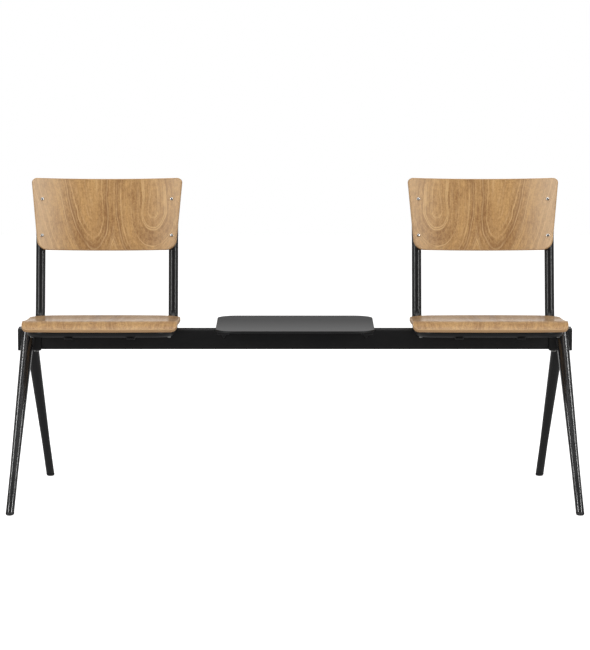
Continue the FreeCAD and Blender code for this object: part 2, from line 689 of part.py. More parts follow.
def makeBackrest(word, side):
    name = f"backrest_{word}"
    low = f"{uprightPlace(side)} * {at('0', backAxis, 'backTopReach - backHeight - trimReach')}"
    height = "backHeight + 2 * trimReach"
    ring = cut(f"{name}_ring", cylinder(f"{name}_rear_face", "backBend", height, low),
               cylinder(f"{name}_front_face", "backBend - backThickness", height, low))
    corners = [("-backBottomWidth / 2", "0"), ("backBottomWidth / 2", "0"),
               ("backTopWidth / 2", "backHeight"), ("-backTopWidth / 2", "backHeight")]
    outline, pad = paddedBody(f"{name}_outline", "XZ_Plane", corners, "2 * trimReach", True)
    middle = size("backHeight") / 2
    upper = roundEdges(outline, pad, "backTopCorner",
                       lambda edge: runsAlong(edge, alongY) and edge.CenterOfMass.z > middle)
    roundEdges(outline, upper, "backBottomCorner",
               lambda edge: runsAlong(edge, alongY) and edge.CenterOfMass.z < middle)
    bind(outline, Placement=f"{uprightPlace(side)} * {at('0', '0', 'backTopReach - backHeight')}")
    board = common(f"{name}_board", [ring, outline])
    holes = []
    for number, place in enumerate(rivetPlaces(side), start=1):
        start = f"{place} * {at('0', '0', 'backBend - 2 * backThickness')}"
        holes.append(cylinder(f"{name}_hole_{number}", "rivetDiameter / 2 + rivetFit",
                              "3 * backThickness", start))
    keep(cut(name, board, group(f"{name}_holes", holes)), name)


def makeRivets(word, side):
    domeRadius = "(rivetHead ^ 2 / 4 + rivetHeadHeight ^ 2) / (2 * rivetHeadHeight)"
    domeSink = f"({domeRadius} - rivetHeadHeight)"
    gripLength = "rivetFit + backThickness + backFit + tubeDiameter"
    rivets = []
    for number, place in enumerate(rivetPlaces(side), start=1):
        label = f"{word}_{number}"
        front = f"{place} * {at('0', '0', 'backBend - backThickness - rivetFit')}"
        shank = cylinder(f"rivet_shank_{label}", "rivetDiameter / 2", gripLength, front)
        rear = f"{front} * {at('0', '0', gripLength)}"
        turned = f"{front} * {at('0', '0', '0', 'rotationx(180)')}"
        domes = []
        for word2, start in (("front", turned), ("rear", rear)):
            dome = doc.addObject("Part::Sphere", f"rivet_{word2}_{label}")
            bind(dome, Radius=domeRadius, Angle1=f"asin({domeSink} / ({domeRadius}))",
                 Placement=f"{start} * {at('0', '0', f'-{domeSink}')}")
            domes.append(dome)
        rivets.append(fuse(f"rivet_{label}", [shank] + domes))
    keep(group(f"backrest_rivets_{word}", rivets), f"backrest_rivets_{word}")


# Table

def tableScrewPlaces():
    return [at(f"{side} * bracketCentre", f"{end} * tableScrewReach", beamTop)
            for word, side in sides for endWord, end in ends]


def makeTabletop():
    half = ("tableWidth / 2", "tableDepth / 2")
    corners = rectangle((f"-{half[0]}", f"-{half[1]}"), half)
    body, pad = paddedBody("tabletop_plate", "XY_Plane", corners, "tableThickness")
    rounded = roundEdges(body, pad, "tableCorner", lambda edge: runsAlong(edge, alongZ))
    top = size("tableThickness")
    roundEdges(body, rounded, "tableEdge",
               lambda edge: edge.BoundBox.ZMin > top / 2)
    bind(body, Placement=at("0", "0", f"{beamTop} + bracketHeight"))
    holes = [cylinder(f"tabletop_hole_{number}", "tableScrewDiameter / 2 + screwFit",
                      "bracketHeight + tableScrewBite", place)
             for number, place in enumerate(tableScrewPlaces(), start=1)]
    keep(cut("tabletop", body, group("tabletop_holes", holes)), "tabletop")


def makeBracket(word, side):
    name = f"table_bracket_{word}"
    x = f"{side} * bracketCentre"
    solids = [box(f"{name}_bar", "bracketWidth", "bracketLength", "bracketHeight",
                  at(f"{x} - bracketWidth / 2", "-bracketLength / 2", beamTop))]
    for endWord, end in ends:
        triangle = [("-bracketWidth / 2", "0"), ("0", "-earDepth"), ("bracketWidth / 2", "0")]
        ear, pad = paddedBody(f"{name}_{endWord}_ear", "XZ_Plane", triangle, "earThickness")
        y = "-beamSide / 2" if end < 0 else "beamSide / 2 + earThickness"
        solids.append(bind(ear, Placement=at(x, y, beamTop)))
    bracket = fuse(f"{name}_blank", solids)
    tools = [earScrewHole(f"{name}_{endWord}_hole", side, end) for endWord, end in ends]
    for end in (-1, 1):
        tools.append(cylinder(f"{name}_table_hole", "tableScrewDiameter / 2 + screwFit", "bracketHeight",
                              at(x, f"{end} * tableScrewReach", beamTop)))
    keep(cut(name, bracket, group(f"{name}_holes", tools)), name)


def headedScrew(name, screw, length, place):
    shank = cylinder(f"{name}_shank", f"{screw}Diameter / 2", length, place)
    head = cylinder(f"{name}_head", f"{screw}Head / 2", f"{screw}HeadHeight",
                    f"{place} * {at('0', '0', f'-{screw}HeadHeight')}")
    return fuse(name, [shank, head])


def makeTableScrews():
    screws = [headedScrew(f"table_screw_{number}", "tableScrew", "bracketHeight + tableScrewBite", place)
              for number, place in enumerate(tableScrewPlaces(), start=1)]
    keep(group("table_screws", screws), "table_screws")
    ears = [headedScrew(f"ear_screw_{word}_{endWord}", "earScrew", "earScrewLength", earScrewPlace(side, end))
            for word, side in sides for endWord, end in ends]
    keep(group("table_bracket_screws", ears), "table_bracket_screws")


makeBeam()
for word, side in sides:
    makeEndCap(word, side)
    makeSleeve(word, side)
    makeSleeveBolts(word, side)
    for endWord, end in ends:
        makeLeg(word, side, endWord, end)
    makeSeatFrame(word, side)
    makeFramePlugs(word, side)
    makeSupportArms(word, side)
    makeSeat(word, side)
    makeSeatFixings(word, side)
    makeBackrest(word, side)
    makeRivets(word, side)
    makeBracket(word, side)
makeTabletop()
makeTableScrews()
doc.recompute()

for item in doc.Objects:
    for state in ("Invalid", "Error"):
        if state in item.State:
            raise RuntimeError(f"{item.Name} is {state}")
for item in parts:
    if item.Shape.isNull() or not item.Shape.isValid():
        raise RuntimeError(f"{item.Label} has no valid shape")

os.makedirs("parts", exist_ok=True)
for item in parts:
    item.Shape.exportStep(f"parts/{item.Label}.step")
    print(item.Label, len(item.Shape.Solids), round(item.Shape.Volume / 1000, 1), "cm3")
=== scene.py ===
import json
import math

import bmesh
import bpy
from mathutils import Matrix, Vector
from mathutils.geometry import delaunay_2d_cdt

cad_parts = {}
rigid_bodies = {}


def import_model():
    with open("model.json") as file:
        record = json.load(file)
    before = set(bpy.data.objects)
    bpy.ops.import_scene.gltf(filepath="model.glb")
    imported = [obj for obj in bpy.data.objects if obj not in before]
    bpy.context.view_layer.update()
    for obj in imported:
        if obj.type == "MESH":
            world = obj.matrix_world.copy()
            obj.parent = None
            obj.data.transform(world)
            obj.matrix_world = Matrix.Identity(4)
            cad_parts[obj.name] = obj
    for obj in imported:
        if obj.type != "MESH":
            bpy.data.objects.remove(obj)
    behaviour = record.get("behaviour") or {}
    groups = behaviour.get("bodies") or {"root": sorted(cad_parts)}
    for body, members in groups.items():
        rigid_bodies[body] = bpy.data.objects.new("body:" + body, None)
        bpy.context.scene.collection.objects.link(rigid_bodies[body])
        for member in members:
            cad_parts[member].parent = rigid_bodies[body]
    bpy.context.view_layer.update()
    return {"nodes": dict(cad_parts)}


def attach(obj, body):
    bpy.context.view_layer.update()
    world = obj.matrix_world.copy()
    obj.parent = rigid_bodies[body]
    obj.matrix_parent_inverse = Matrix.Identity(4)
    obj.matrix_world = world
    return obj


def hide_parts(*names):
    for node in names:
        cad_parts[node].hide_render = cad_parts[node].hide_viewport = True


# Companion seat bench. Metres, -Y is the front, the floor is Z = 0.

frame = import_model()
sides = (("left", -1), ("right", 1))
ends = (("front", -1), ("rear", 1))
white = (1, 1, 1, 1)


def addObject(name, data, *materials):
    for material in materials:
        data.materials.append(material)
    item = bpy.data.objects.new(name, data)
    bpy.context.scene.collection.objects.link(item)
    return item


# Camera

cameraSetup = {"place": (0, -9.0, 1.522), "pitch": 6.868, "lens": 197.0, "sensor": 36, "reach": 60}


def makeCamera():
    data = bpy.data.cameras.new("camera")
    data.lens = cameraSetup["lens"]
    data.sensor_width = cameraSetup["sensor"]
    data.clip_end = cameraSetup["reach"]
    camera = addObject("camera", data)
    camera.location = cameraSetup["place"]
    camera.rotation_euler = (math.radians(90 - cameraSetup["pitch"]), 0, 0)
    bpy.context.scene.camera = camera
    bpy.context.scene.view_settings.view_transform = "Standard"


makeCamera()
print("camera placed")


# Node helpers

def fill(tree, sockets, values):
    # each named socket gets a plain value, another socket, or a node's first output
    for name, value in values.items():
        if isinstance(value, bpy.types.Node):
            value = value.outputs[0]
        if isinstance(value, bpy.types.NodeSocket):
            tree.links.new(value, sockets[name])
        else:
            sockets[name].default_value = value


def addNode(tree, kind, inputs=None, **settings):
    node = tree.nodes.new(kind)
    for name, value in settings.items():
        setattr(node, name, value)
    fill(tree, node.inputs, inputs or {})
    return node


def maths(tree, operation, *values):
    return addNode(tree, "ShaderNodeMath", dict(enumerate(values)), operation=operation).outputs[0]


def total(tree, value, *others):
    for other in others:
        value = maths(tree, "ADD", value, other)
    return value


def product(tree, value, *others):
    for other in others:
        value = maths(tree, "MULTIPLY", value, other)
    return value


def noise(tree, vector, scale, detail=2, rough=0.5):
    inputs = {"Vector": vector, "Scale": scale, "Detail": detail, "Roughness": rough}
    return addNode(tree, "ShaderNodeTexNoise", inputs).outputs["Fac"]


def spread(tree, value, low, high, start=0.0, end=1.0, smooth=False):
    # as the value runs from low to high, the result runs from start to end and stops there
    inputs = {"Value": value, "From Min": low, "From Max": high, "To Min": start, "To Max": end}
    curve = "SMOOTHSTEP" if smooth else "LINEAR"
    return addNode(tree, "ShaderNodeMapRange", inputs, interpolation_type=curve).outputs["Result"]


def blendColour(tree, amount, first, second):
    return addNode(tree, "ShaderNodeMix", {0: amount, 6: first, 7: second}, data_type="RGBA").outputs[2]


def stretch(tree, vector, scale, offset=(0, 0, 0), turn=0.0):
    inputs = {"Vector": vector, "Scale": scale, "Location": offset, "Rotation": (0, 0, turn)}
    return addNode(tree, "ShaderNodeMapping", inputs)


def separate(tree, vector):
    return addNode(tree, "ShaderNodeSeparateXYZ", {"Vector": vector}).outputs


def newTree(name, kind, inputs, outputs):
    # inputs and outputs: the socket type of each name
    tree = bpy.data.node_groups.new(name, kind)
    for way, sockets in (("INPUT", inputs), ("OUTPUT", outputs)):
        for label, socket in sockets.items():
            tree.interface.new_socket(label, in_out=way, socket_type=f"NodeSocket{socket}")
    return tree, addNode(tree, "NodeGroupInput").outputs, addNode(tree, "NodeGroupOutput").inputs


def useGroup(tree, group, values):
    return addNode(tree, "ShaderNodeGroup", values, node_tree=group).outputs


def srgb(red, green, blue):
    def linear(value):
        value /= 255
        return value / 12.92 if value <= 0.04045 else ((value + 0.055) / 1.055) ** 2.4
    return (linear(red), linear(green), linear(blue), 1)


def newMaterial(name, settings):
    material = bpy.data.materials.new(name)
    material.use_nodes = True
    tree = material.node_tree
    shader = tree.nodes["Principled BSDF"]
    fill(tree, shader.inputs, settings)
    return material, tree, shader.inputs


def objectPlace(tree):
    return addNode(tree, "ShaderNodeTexCoord").outputs["Object"]


def boardPlace(tree):
    return addNode(tree, "ShaderNodeUVMap", uv_map="board")


def bump(tree, height, distance):
    return addNode(tree, "ShaderNodeBump", {"Height": height, "Distance": distance})


# Shared effects

dust = {
    # noises: size, detail, roughness; ranges: from, to, and the results there
    "patches": (9, 4, 0.6), "patchRange": (0.42, 0.75), "specks": (420, 2, 0.6), "speckRange": (0.6, 0.78),
    "speckShare": 0.5, "upwardRange": (-0.2, 1.0, 0.25, 1.0), "colour": srgb(150, 146, 140),
    "roughening": 0.6,
}


def makeDustGroup():
    # settled dust and light scuffs: more on what faces up, in soft patches
    tree, source, result = newTree("settledDust", "ShaderNodeTree", {
        "Vector": "Vector", "Colour": "Color", "Roughness": "Float", "Amount": "Float"},
        {"Colour": "Color", "Roughness": "Float"})
    patches = spread(tree, noise(tree, source["Vector"], *dust["patches"]), *dust["patchRange"])
    specks = spread(tree, noise(tree, source["Vector"], *dust["specks"]), *dust["speckRange"])
    normal = addNode(tree, "ShaderNodeNewGeometry").outputs["Normal"]
    facing = spread(tree, separate(tree, normal)["Z"], *dust["upwardRange"])
    film = total(tree, patches, product(tree, specks, dust["speckShare"]))
    film = product(tree, film, facing, source["Amount"])
    fill(tree, result, {
        "Colour": blendColour(tree, film, source["Colour"], dust["colour"]),
        "Roughness": total(tree, source["Roughness"], product(tree, film, dust["roughening"]))})
    return tree


grain = {"detail": 3, "roughness": 0.55, "wideSize": 0.22, "wideDetail": 1}


def makeGrainGroup():
    # fine surface grain: orange peel of a powder coat, or the spark grain of moulded plastic
    tree, source, result = newTree("fineGrain", "ShaderNodeTree", {
        "Vector": "Vector", "Size": "Float", "Waviness": "Float"}, {"Height": "Float"})
    fine = noise(tree, source["Vector"], source["Size"], grain["detail"], grain["roughness"])
    wideSize = product(tree, source["Size"], grain["wideSize"])
    wide = noise(tree, source["Vector"], wideSize, grain["wideDetail"])
    fill(tree, result, {"Height": total(tree, fine, product(tree, wide, source["Waviness"]))})
    return tree


veneer = {
    # Valley: its place across the board; Floor: where it turns; Lift: how fast its rings open below that,
    # and Upper Lift above the second one's; Ridge Shift: the distance that the first one starts from
    "backrest": {
        "Base": srgb(191, 149, 94), "Vein": srgb(215, 179, 128), "Dark": srgb(139, 97, 53),
        "First Valley": -0.033, "First Floor": 0.095, "First Lift": 0.38, "Ridge Shift": 0.058,
        "Second Valley": 0.119, "Second Floor": 0.103, "Second Lift": 0.62, "Upper Lift": 0.12,
        "Slant": 0.24, "Ring Width": 0.0095, "Dark Ring": 0.093, "Figure": 1.0, "Bleach": 1.0, "Seed": 4.0},
    "seat": {
        "Base": srgb(197, 156, 103), "Vein": srgb(221, 185, 134), "Dark": srgb(143, 101, 57),
        "First Valley": -0.075, "First Floor": 0.05, "First Lift": 0.3, "Ridge Shift": 0.02,
        "Second Valley": 0.105, "Second Floor": 0.08, "Second Lift": 0.36, "Upper Lift": 0.1,
        "Slant": 0.06, "Ring Width": 0.011, "Dark Ring": 0.08, "Figure": 0.6, "Bleach": 0.0, "Seed": 9.0},
}
woodNoises = {
    # squash along the grain, offset, turn, size, detail, roughness
    "wideSway": (0.5, 0, 0, 9, 2, 0.5), "sway": (0.4, 3, 0, 34, 2, 0.5), "fineSway": (0.3, 6, 0, 120, 2, 0.5),
    "fade": (0.35, 7, 0, 24, 2, 0.5), "fineFade": (0.35, 17, 0, 40, 2, 0.5),
    "pores": (0.08, 0, 0, 900, 3, 0.6), "fibre": (0.04, 11, 0, 420, 3, 0.6), "cloud": (0.6, 5, 0, 16, 3, 0.6),
    "mottle": (0.6, 23, 0, 130, 3, 0.65), "fleck": (0.7, 31, 0.6, 310, 3, 0.7),
}
wood = {
    "sways": {"wideSway": 0.011, "sway": 0.0045, "fineSway": 0.0011}, "leanFrom": 0.01, "leanTo": -0.11,
    "ridge": 0.008, "bandWidth": 0.008, "bandShare": 0.45, "outerSheen": (-0.06, -0.2, 0.0, 0.42),
    "innerSheen": (0.08, 0.2, 0.0, 0.24), "contrast": 0.275,
    "ringNoise": {"Scale": 0.5, "Detail": 2, "Roughness": 0.6},
    "rings": (0.34, 0.66), "polish": (0.3, 0.7, 0.36, 0.46), "veins": (0.55, 0.075), "veinFade": (0.34, 0.56),
    "veinShare": 0.8, "fineVeins": (1.7, 0.2), "fineFade": (0.42, 0.66), "fineShare": 0.6,
    "tones": {"cloud": (0.35, 0.68, 0.0, 0.45), "mottle": (0.3, 0.7, -0.36, 0.34),
              "fleck": (0.3, 0.7, -0.3, 0.28)},
    "fibre": (0.35, 0.65, 0.0, 0.2), "pores": (0.52, 0.72), "poreShare": 0.3, "poreColour": srgb(112, 78, 46),
    # the first colour here is the whitish tone of the painted sheen at the board's ends
    "paintedSheen": srgb(226, 203, 176), "veinHeight": 0.3,
}


def growthRings(tree, source, texture, across, along):
    # distance from two valleys side by side: its level lines are the growth rings
    lean = spread(tree, across, wood["leanFrom"], wood["leanTo"], 0.0, source["Slant"], smooth=True)
    across = maths(tree, "MULTIPLY_ADD", along, lean, across)
    for name, reach in wood["sways"].items():
        across = total(tree, across, spread(tree, texture(name), 0, 1, -reach, reach))

    def valley(word, upperLift, shift):
        aside = maths(tree, "SUBTRACT", across, source[f"{word} Valley"])
        below = maths(tree, "MAXIMUM", maths(tree, "SUBTRACT", source[f"{word} Floor"], along), 0.0)
        above = maths(tree, "MAXIMUM", maths(tree, "SUBTRACT", along, source[f"{word} Floor"]), 0.0)
        depth = maths(tree, "MULTIPLY_ADD", above, upperLift, product(tree, below, source[f"{word} Lift"]))
        square = maths(tree, "MULTIPLY_ADD", aside, aside, product(tree, depth, depth))
        return total(tree, maths(tree, "SQRT", square), shift)

    first = valley("First", 0.0, source["Ridge Shift"])
    second = valley("Second", source["Upper Lift"], 0.0)
    return maths(tree, "SMOOTH_MIN", first, second, wood["ridge"])


def makeVeneerGroup():
    # flat-sawn figure: two valleys of growth rings with an arch between them, pores, fibre and flecks
    own = {label: "Color" if isinstance(value, tuple) else "Float" for label, value in veneer["seat"].items()}
    tree, source, result = newTree("veneerFigure", "ShaderNodeTree", {
        "Vector": "Vector", "Mirror": "Float", **own},
        {"Colour": "Color", "Height": "Float", "Polish": "Float"})
    parts = separate(tree, source["Vector"])
    across, along = product(tree, parts["X"], source["Mirror"]), parts["Y"]
    flat = addNode(tree, "ShaderNodeCombineXYZ", {"X": across, "Y": along, "Z": source["Seed"]})

    def texture(name):
        squash, shift, turn, *look = woodNoises[name]
        return noise(tree, stretch(tree, flat, (1, squash, 1), (shift, 0, 0), turn), *look)

    rings = growthRings(tree, source, texture, across, along)
    count = total(tree, maths(tree, "DIVIDE", rings, source["Ring Width"]), source["Seed"])

    def ringLines(size, width, fadeName, fadeRange):
        lines = addNode(tree, "ShaderNodeTexVoronoi", {"W": count, "Scale": size}, voronoi_dimensions="1D")
        line = spread(tree, lines.outputs["Distance"], width, 0.0)
        return product(tree, line, spread(tree, texture(fadeName), *fadeRange))

    broad = addNode(tree, "ShaderNodeTexNoise", {"W": count, **wood["ringNoise"]},
                    noise_dimensions="1D").outputs["Fac"]
    offBand = maths(tree, "DIVIDE", maths(tree, "SUBTRACT", rings, source["Dark Ring"]), wood["bandWidth"])
    band = maths(tree, "EXPONENT", product(tree, offBand, offBand, -1.0))
    fineVeins = ringLines(*wood["fineVeins"], "fineFade", wood["fineFade"])
    veins = ringLines(*wood["veins"], "fade", wood["veinFade"])
    veins = maths(tree, "MAXIMUM", veins, product(tree, fineVeins, wood["fineShare"]))
    pores = spread(tree, texture("pores"), *wood["pores"])
    contrast = wood["contrast"]
    shade = product(tree, spread(tree, broad, *wood["rings"], -contrast, contrast), source["Figure"])
    darkness = total(tree, shade, contrast, product(tree, band, wood["bandShare"]))
    for name, tone in wood["tones"].items():
        darkness = total(tree, darkness, spread(tree, texture(name), *tone))

    colour = blendColour(tree, darkness, source["Base"], source["Dark"])
    veinShare = product(tree, veins, source["Figure"], wood["veinShare"])
    colour = blendColour(tree, veinShare, colour, source["Vein"])
    colour = blendColour(tree, spread(tree, texture("fibre"), *wood["fibre"]), colour, source["Vein"])
    colour = blendColour(tree, product(tree, pores, wood["poreShare"]), colour, wood["poreColour"])
    # painted sheen: the veneer turns paler and whiter towards the board's two ends, standing in for the soft
    # reflection that the curved ends catch
    outer = spread(tree, across, *wood["outerSheen"], smooth=True)
    inner = spread(tree, across, *wood["innerSheen"], smooth=True)
    sheenShare = product(tree, total(tree, outer, inner), source["Bleach"])
    fill(tree, result, {
        "Colour": blendColour(tree, sheenShare, colour, wood["paintedSheen"]),
        "Height": maths(tree, "SUBTRACT", product(tree, veins, wood["veinHeight"]), pores),
        "Polish": spread(tree, broad, *wood["polish"])})
    return tree


ply = {
    "waverSize": 60, "waver": 0.0002, "glueLine": 0.07, "glueShare": 0.6, "glue": srgb(70, 46, 28),
    "streakStretch": (0.05, 1, 1), "streakSize": 2600, "speckSize": 2200, "speckRoughness": 0.6,
    "long": (srgb(210, 174, 128), srgb(186, 147, 101)), "endGrain": (srgb(176, 134, 91), srgb(139, 101, 66)),
}


def makePlyGroup():
    # the board's edge: thin layers, every other one with its end grain out
    tree, source, result = newTree("plyLayers", "ShaderNodeTree", {
        "Vector": "Vector", "Thickness": "Float", "Layers": "Float"}, {"Colour": "Color", "Height": "Float"})
    waver = spread(tree, noise(tree, source["Vector"], ply["waverSize"]), 0, 1, -ply["waver"], ply["waver"])
    depth = total(tree, separate(tree, source["Vector"])["Y"], waver)
    level = product(tree, maths(tree, "DIVIDE", depth, source["Thickness"]), source["Layers"])
    inLayer = maths(tree, "FRACT", level)
    gap = maths(tree, "MINIMUM", inLayer, maths(tree, "SUBTRACT", 1.0, inLayer))
    glue = maths(tree, "LESS_THAN", gap, ply["glueLine"])
    streak = noise(tree, stretch(tree, source["Vector"], ply["streakStretch"]), ply["streakSize"])
    speck = noise(tree, source["Vector"], ply["speckSize"], rough=ply["speckRoughness"])
    everyOther = maths(tree, "MODULO", maths(tree, "FLOOR", level), 2.0)
    colour = blendColour(tree, everyOther, blendColour(tree, streak, *ply["long"]),
                         blendColour(tree, speck, *ply["endGrain"]))
    fill(tree, result, {
        "Colour": blendColour(tree, product(tree, glue, ply["glueShare"]), colour, ply["glue"]),
        "Height": maths(tree, "SUBTRACT", speck, glue)})
    return tree


settledDust = makeDustGroup()
fineGrain = makeGrainGroup()
veneerFigure = makeVeneerGroup()
plyLayers = makePlyGroup()
print("shader groups built")


# Finishes

blackFinishes = {
    # grain: its size; depth: the bump's height; rubbed: from and to along Y, how much smoother in front
    "powderBlack": {"colour": (0.0105, 0.0105, 0.011, 1), "roughness": 0.29, "grain": 1100.0,
                    "depth": 0.00004, "dust": 0.02},
    "powderGloss": {"colour": (0.0105, 0.0105, 0.011, 1), "roughness": 0.2, "grain": 1100.0, "depth": 0.00002,
                    "dust": 0.01, "shader": {"Specular IOR Level": 1.0, "Coat Weight": 1.0,
                                             "Coat Roughness": 0.22}},
    "powderMatt": {"colour": (0.0125, 0.0125, 0.013, 1), "roughness": 0.6, "grain": 1100.0, "depth": 0.00004,
                   "dust": 0.02, "shader": {"Specular IOR Level": 0.2}},
    "powderOverWeld": {"colour": (0.012, 0.012, 0.0125, 1), "roughness": 0.42, "grain": 700.0,
                       "depth": 0.00012, "dust": 0.03, "waviness": 1.0},
    "plasticBlack": {"colour": (0.014, 0.014, 0.0145, 1), "roughness": 0.5, "grain": 2400.0, "depth": 0.00003,
                     "dust": 0.03},
    "laminateBlack": {"colour": (0.017, 0.017, 0.0175, 1), "roughness": 0.52, "grain": 3000.0,
                      "depth": 0.00001, "dust": 0.03, "rubbed": (-0.14, 0.08, 0.19)},
    "laminateEdge": {"colour": (0.008, 0.008, 0.0085, 1), "roughness": 0.5, "grain": 1600.0, "depth": 0.00003,
                     "dust": 0.01},
}


def makeBlackFinish(name):
    values = blackFinishes[name]
    material, tree, shader = newMaterial(name, values.get("shader", {}))
    vector = objectPlace(tree)
    dusty = useGroup(tree, settledDust, {"Vector": vector, "Colour": values["colour"],
                                         "Roughness": values["roughness"], "Amount": values["dust"]})
    grained = useGroup(tree, fineGrain, {"Vector": vector, "Size": values["grain"],
                                         "Waviness": values.get("waviness", 0.8)})
    roughness = dusty["Roughness"]
    if "rubbed" in values:
        # hands and trays have rubbed it smoother towards the front edge
        front, rear, amount = values["rubbed"]
        smoother = spread(tree, separate(tree, vector)["Y"], front, rear, amount, 0.0)
        roughness = maths(tree, "SUBTRACT", roughness, smoother)
    fill(tree, shader, {"Base Color": dusty["Colour"], "Roughness": roughness,
                        "Normal": bump(tree, grained["Height"], values["depth"])})
    return material


metalFinishes = {
    "zincPlate": {"colour": (0.62, 0.62, 0.6), "roughness": 0.34},
    "rivetMetal": {"colour": (0.8, 0.8, 0.79), "roughness": 0.26},
}
metalLook = {
    "clouds": (90, 3, 0.6), "cloudRange": (0.35, 0.7), "darker": 0.7, "scratches": (900, 3, 0.7),
    "scratchStretch": (1, 6, 1), "scratchRange": (0.3, 0.7), "smoother": 0.07, "rougher": 0.1,
    "depth": 0.00001,
}


def makeMetalFinish(name):
    values = metalFinishes[name]
    material, tree, shader = newMaterial(name, {"Metallic": 1.0})
    vector = objectPlace(tree)
    cloud = spread(tree, noise(tree, vector, *metalLook["clouds"]), *metalLook["cloudRange"])
    scratch = noise(tree, stretch(tree, vector, metalLook["scratchStretch"]), *metalLook["scratches"])
    darker = [part * metalLook["darker"] for part in values["colour"]]
    roughness = spread(tree, scratch, *metalLook["scratchRange"], values["roughness"] - metalLook["smoother"],
                       values["roughness"] + metalLook["rougher"])
    fill(tree, shader, {"Base Color": blendColour(tree, cloud, (*values["colour"], 1), (*darker, 1)),
                        "Roughness": roughness, "Normal": bump(tree, scratch, metalLook["depth"])})
    return material


varnish = {"Coat Weight": 0.3, "Coat Roughness": 0.16, "Coat IOR": 1.5}
bareEdge = {"Roughness": 0.5}
boardRelief = {"veneer": 0.00008, "edge": 0.0001}


def makeVeneerFinish(board, word, side):
    # the right-hand chair has the mirror half of the same veneer
    material, tree, shader = newMaterial(f"{board}Veneer{word.title()}", varnish)
    values = {"Vector": boardPlace(tree), "Mirror": float(-side), **veneer[board]}
    figure = useGroup(tree, veneerFigure, values)
    fill(tree, shader, {"Base Color": figure["Colour"], "Roughness": figure["Polish"],
                        "Normal": bump(tree, figure["Height"], boardRelief["veneer"])})
    return material


def makeEdgeFinish(name, thickness, layers):
    material, tree, shader = newMaterial(name, bareEdge)
    edge = useGroup(tree, plyLayers, {"Vector": boardPlace(tree), "Thickness": thickness, "Layers": layers})
    fill(tree, shader, {"Base Color": edge["Colour"],
                        "Normal": bump(tree, edge["Height"], boardRelief["edge"])})
    return material


finish = {name: makeBlackFinish(name) for name in blackFinishes}
finish.update({name: makeMetalFinish(name) for name in metalFinishes})
print("finishes built")


# Mesh helpers

tolerance = {"join": 1e-7, "level": 1e-6, "face": 1e-5}


def settle(piece, slot, *replaced):
    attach(piece, "root")
    if replaced:
        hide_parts(*replaced)


def smooth(mesh, sharp):
    mesh.shade_smooth()
    mesh.set_sharp_from_angle(angle=math.radians(sharp))


def meshFrom(name, shape, sharp=40):
    shape.normal_update()
    mesh = bpy.data.meshes.new(name)
    shape.to_mesh(mesh)
    shape.free()
    smooth(mesh, sharp)
    return mesh


def applyModifiers(piece):
    # a plain mesh object takes the place of the piece, its data and its modifiers
    graph = bpy.context.evaluated_depsgraph_get()
    mesh = bpy.data.meshes.new_from_object(piece.evaluated_get(graph), depsgraph=graph)
    name = piece.name
    bpy.data.batch_remove([piece, piece.data])
    return addObject(name, mesh)


def carve(piece, tool, crossed=False):
    # takes the tool's shape out of the piece; crossed is for a tool whose parts cross each other
    modifier = piece.modifiers.new("carve", "BOOLEAN")
    modifier.operation = "DIFFERENCE"
    modifier.use_self = crossed
    modifier.object = tool
    piece = applyModifiers(piece)
    bpy.data.objects.remove(tool)
    return piece


def roundEdges(shape, edges, width, rows=2):
    bmesh.ops.bevel(shape, geom=edges, offset=width, segments=rows, profile=0.5, affect="EDGES")


def circle(count):
    return [(math.cos(turn), math.sin(turn)) for turn in
            (2 * math.pi * number / count for number in range(count))]


def skin(shape, loops, around=False):
    # joins each loop of points to the next, then closes both ends or goes around to the first loop;
    # a loop of one point is a pole
    rings = [[shape.verts.new(point) for point in loop] for loop in loops]
    for ring, following in zip(rings, rings[1:] + rings[:1] if around else rings[1:]):
        count = max(len(ring), len(following))
        for index in range(count):
            after = (index + 1) % count
            corners = (ring[index % len(ring)], ring[after % len(ring)],
                       following[after % len(following)], following[index % len(following)])
            shape.faces.new(list(dict.fromkeys(corners)))
    if not around:
        for ring in (rings[0][::-1], rings[-1]):
            if len(ring) > 1:
                shape.faces.new(ring)
    bmesh.ops.recalc_face_normals(shape, faces=shape.faces)


def turnedShape(outline, facets=28):
    # spins an outline of (radius, height) round Z
    shape = bmesh.new()
    skin(shape, [[(radius * x, radius * y, height) for x, y in circle(facets if radius else 1)]
                 for radius, height in outline])
    return shape


def prism(shape, outline, step):
    skin(shape, [outline, [point + step for point in outline]])


def rectangle(x, y):
    return [(-x, -y), (x, -y), (x, y), (-x, y)]


def inset(loop, distance, least=0.4):
    # moves each point of a closed loop inwards, square to the loop; least holds back a sharp corner
    moved = []
    for index, point in enumerate(loop):
        ahead = (loop[(index + 1) % len(loop)] - point).normalized()
        behind = (point - loop[index - 1]).normalized()
        normal = Vector((-(ahead.y + behind.y), ahead.x + behind.x)).normalized()
        share = max(normal.dot(Vector((-ahead.y, ahead.x))), least)
        moved.append(point + normal * distance / share)
    return moved


def roundedOutline(corners, radii, step=0.0025):
    # a closed loop through the corners, each rounded; an arc has a point each step and four parts at
    # least, and a straight run has a point each four steps
    arcs = []
    for index, place in enumerate(corners):
        corner = Vector(place)
        back = (Vector(corners[index - 1]) - corner).normalized()
        ahead = (Vector(corners[(index + 1) % len(corners)]) - corner).normalized()
        half = back.angle(ahead) / 2
        reach = radii[index] / math.tan(half)
        middle = corner + (back + ahead).normalized() * radii[index] / math.sin(half)
        arcs.append((corner + back * reach, corner + ahead * reach, middle, math.pi - 2 * half))
    loop = []
    for index, (start, end, middle, turn) in enumerate(arcs):
        count = max(4, round(turn * radii[index] / step))
        loop += [middle + Matrix.Rotation(turn * number / count, 2) @ (start - middle)
                 for number in range(count + 1)]
        following = arcs[(index + 1) % len(arcs)][0]
        count = max(1, round((following - end).length / (4 * step)))
        loop += [end.lerp(following, number / count) for number in range(1, count)]
    return loop


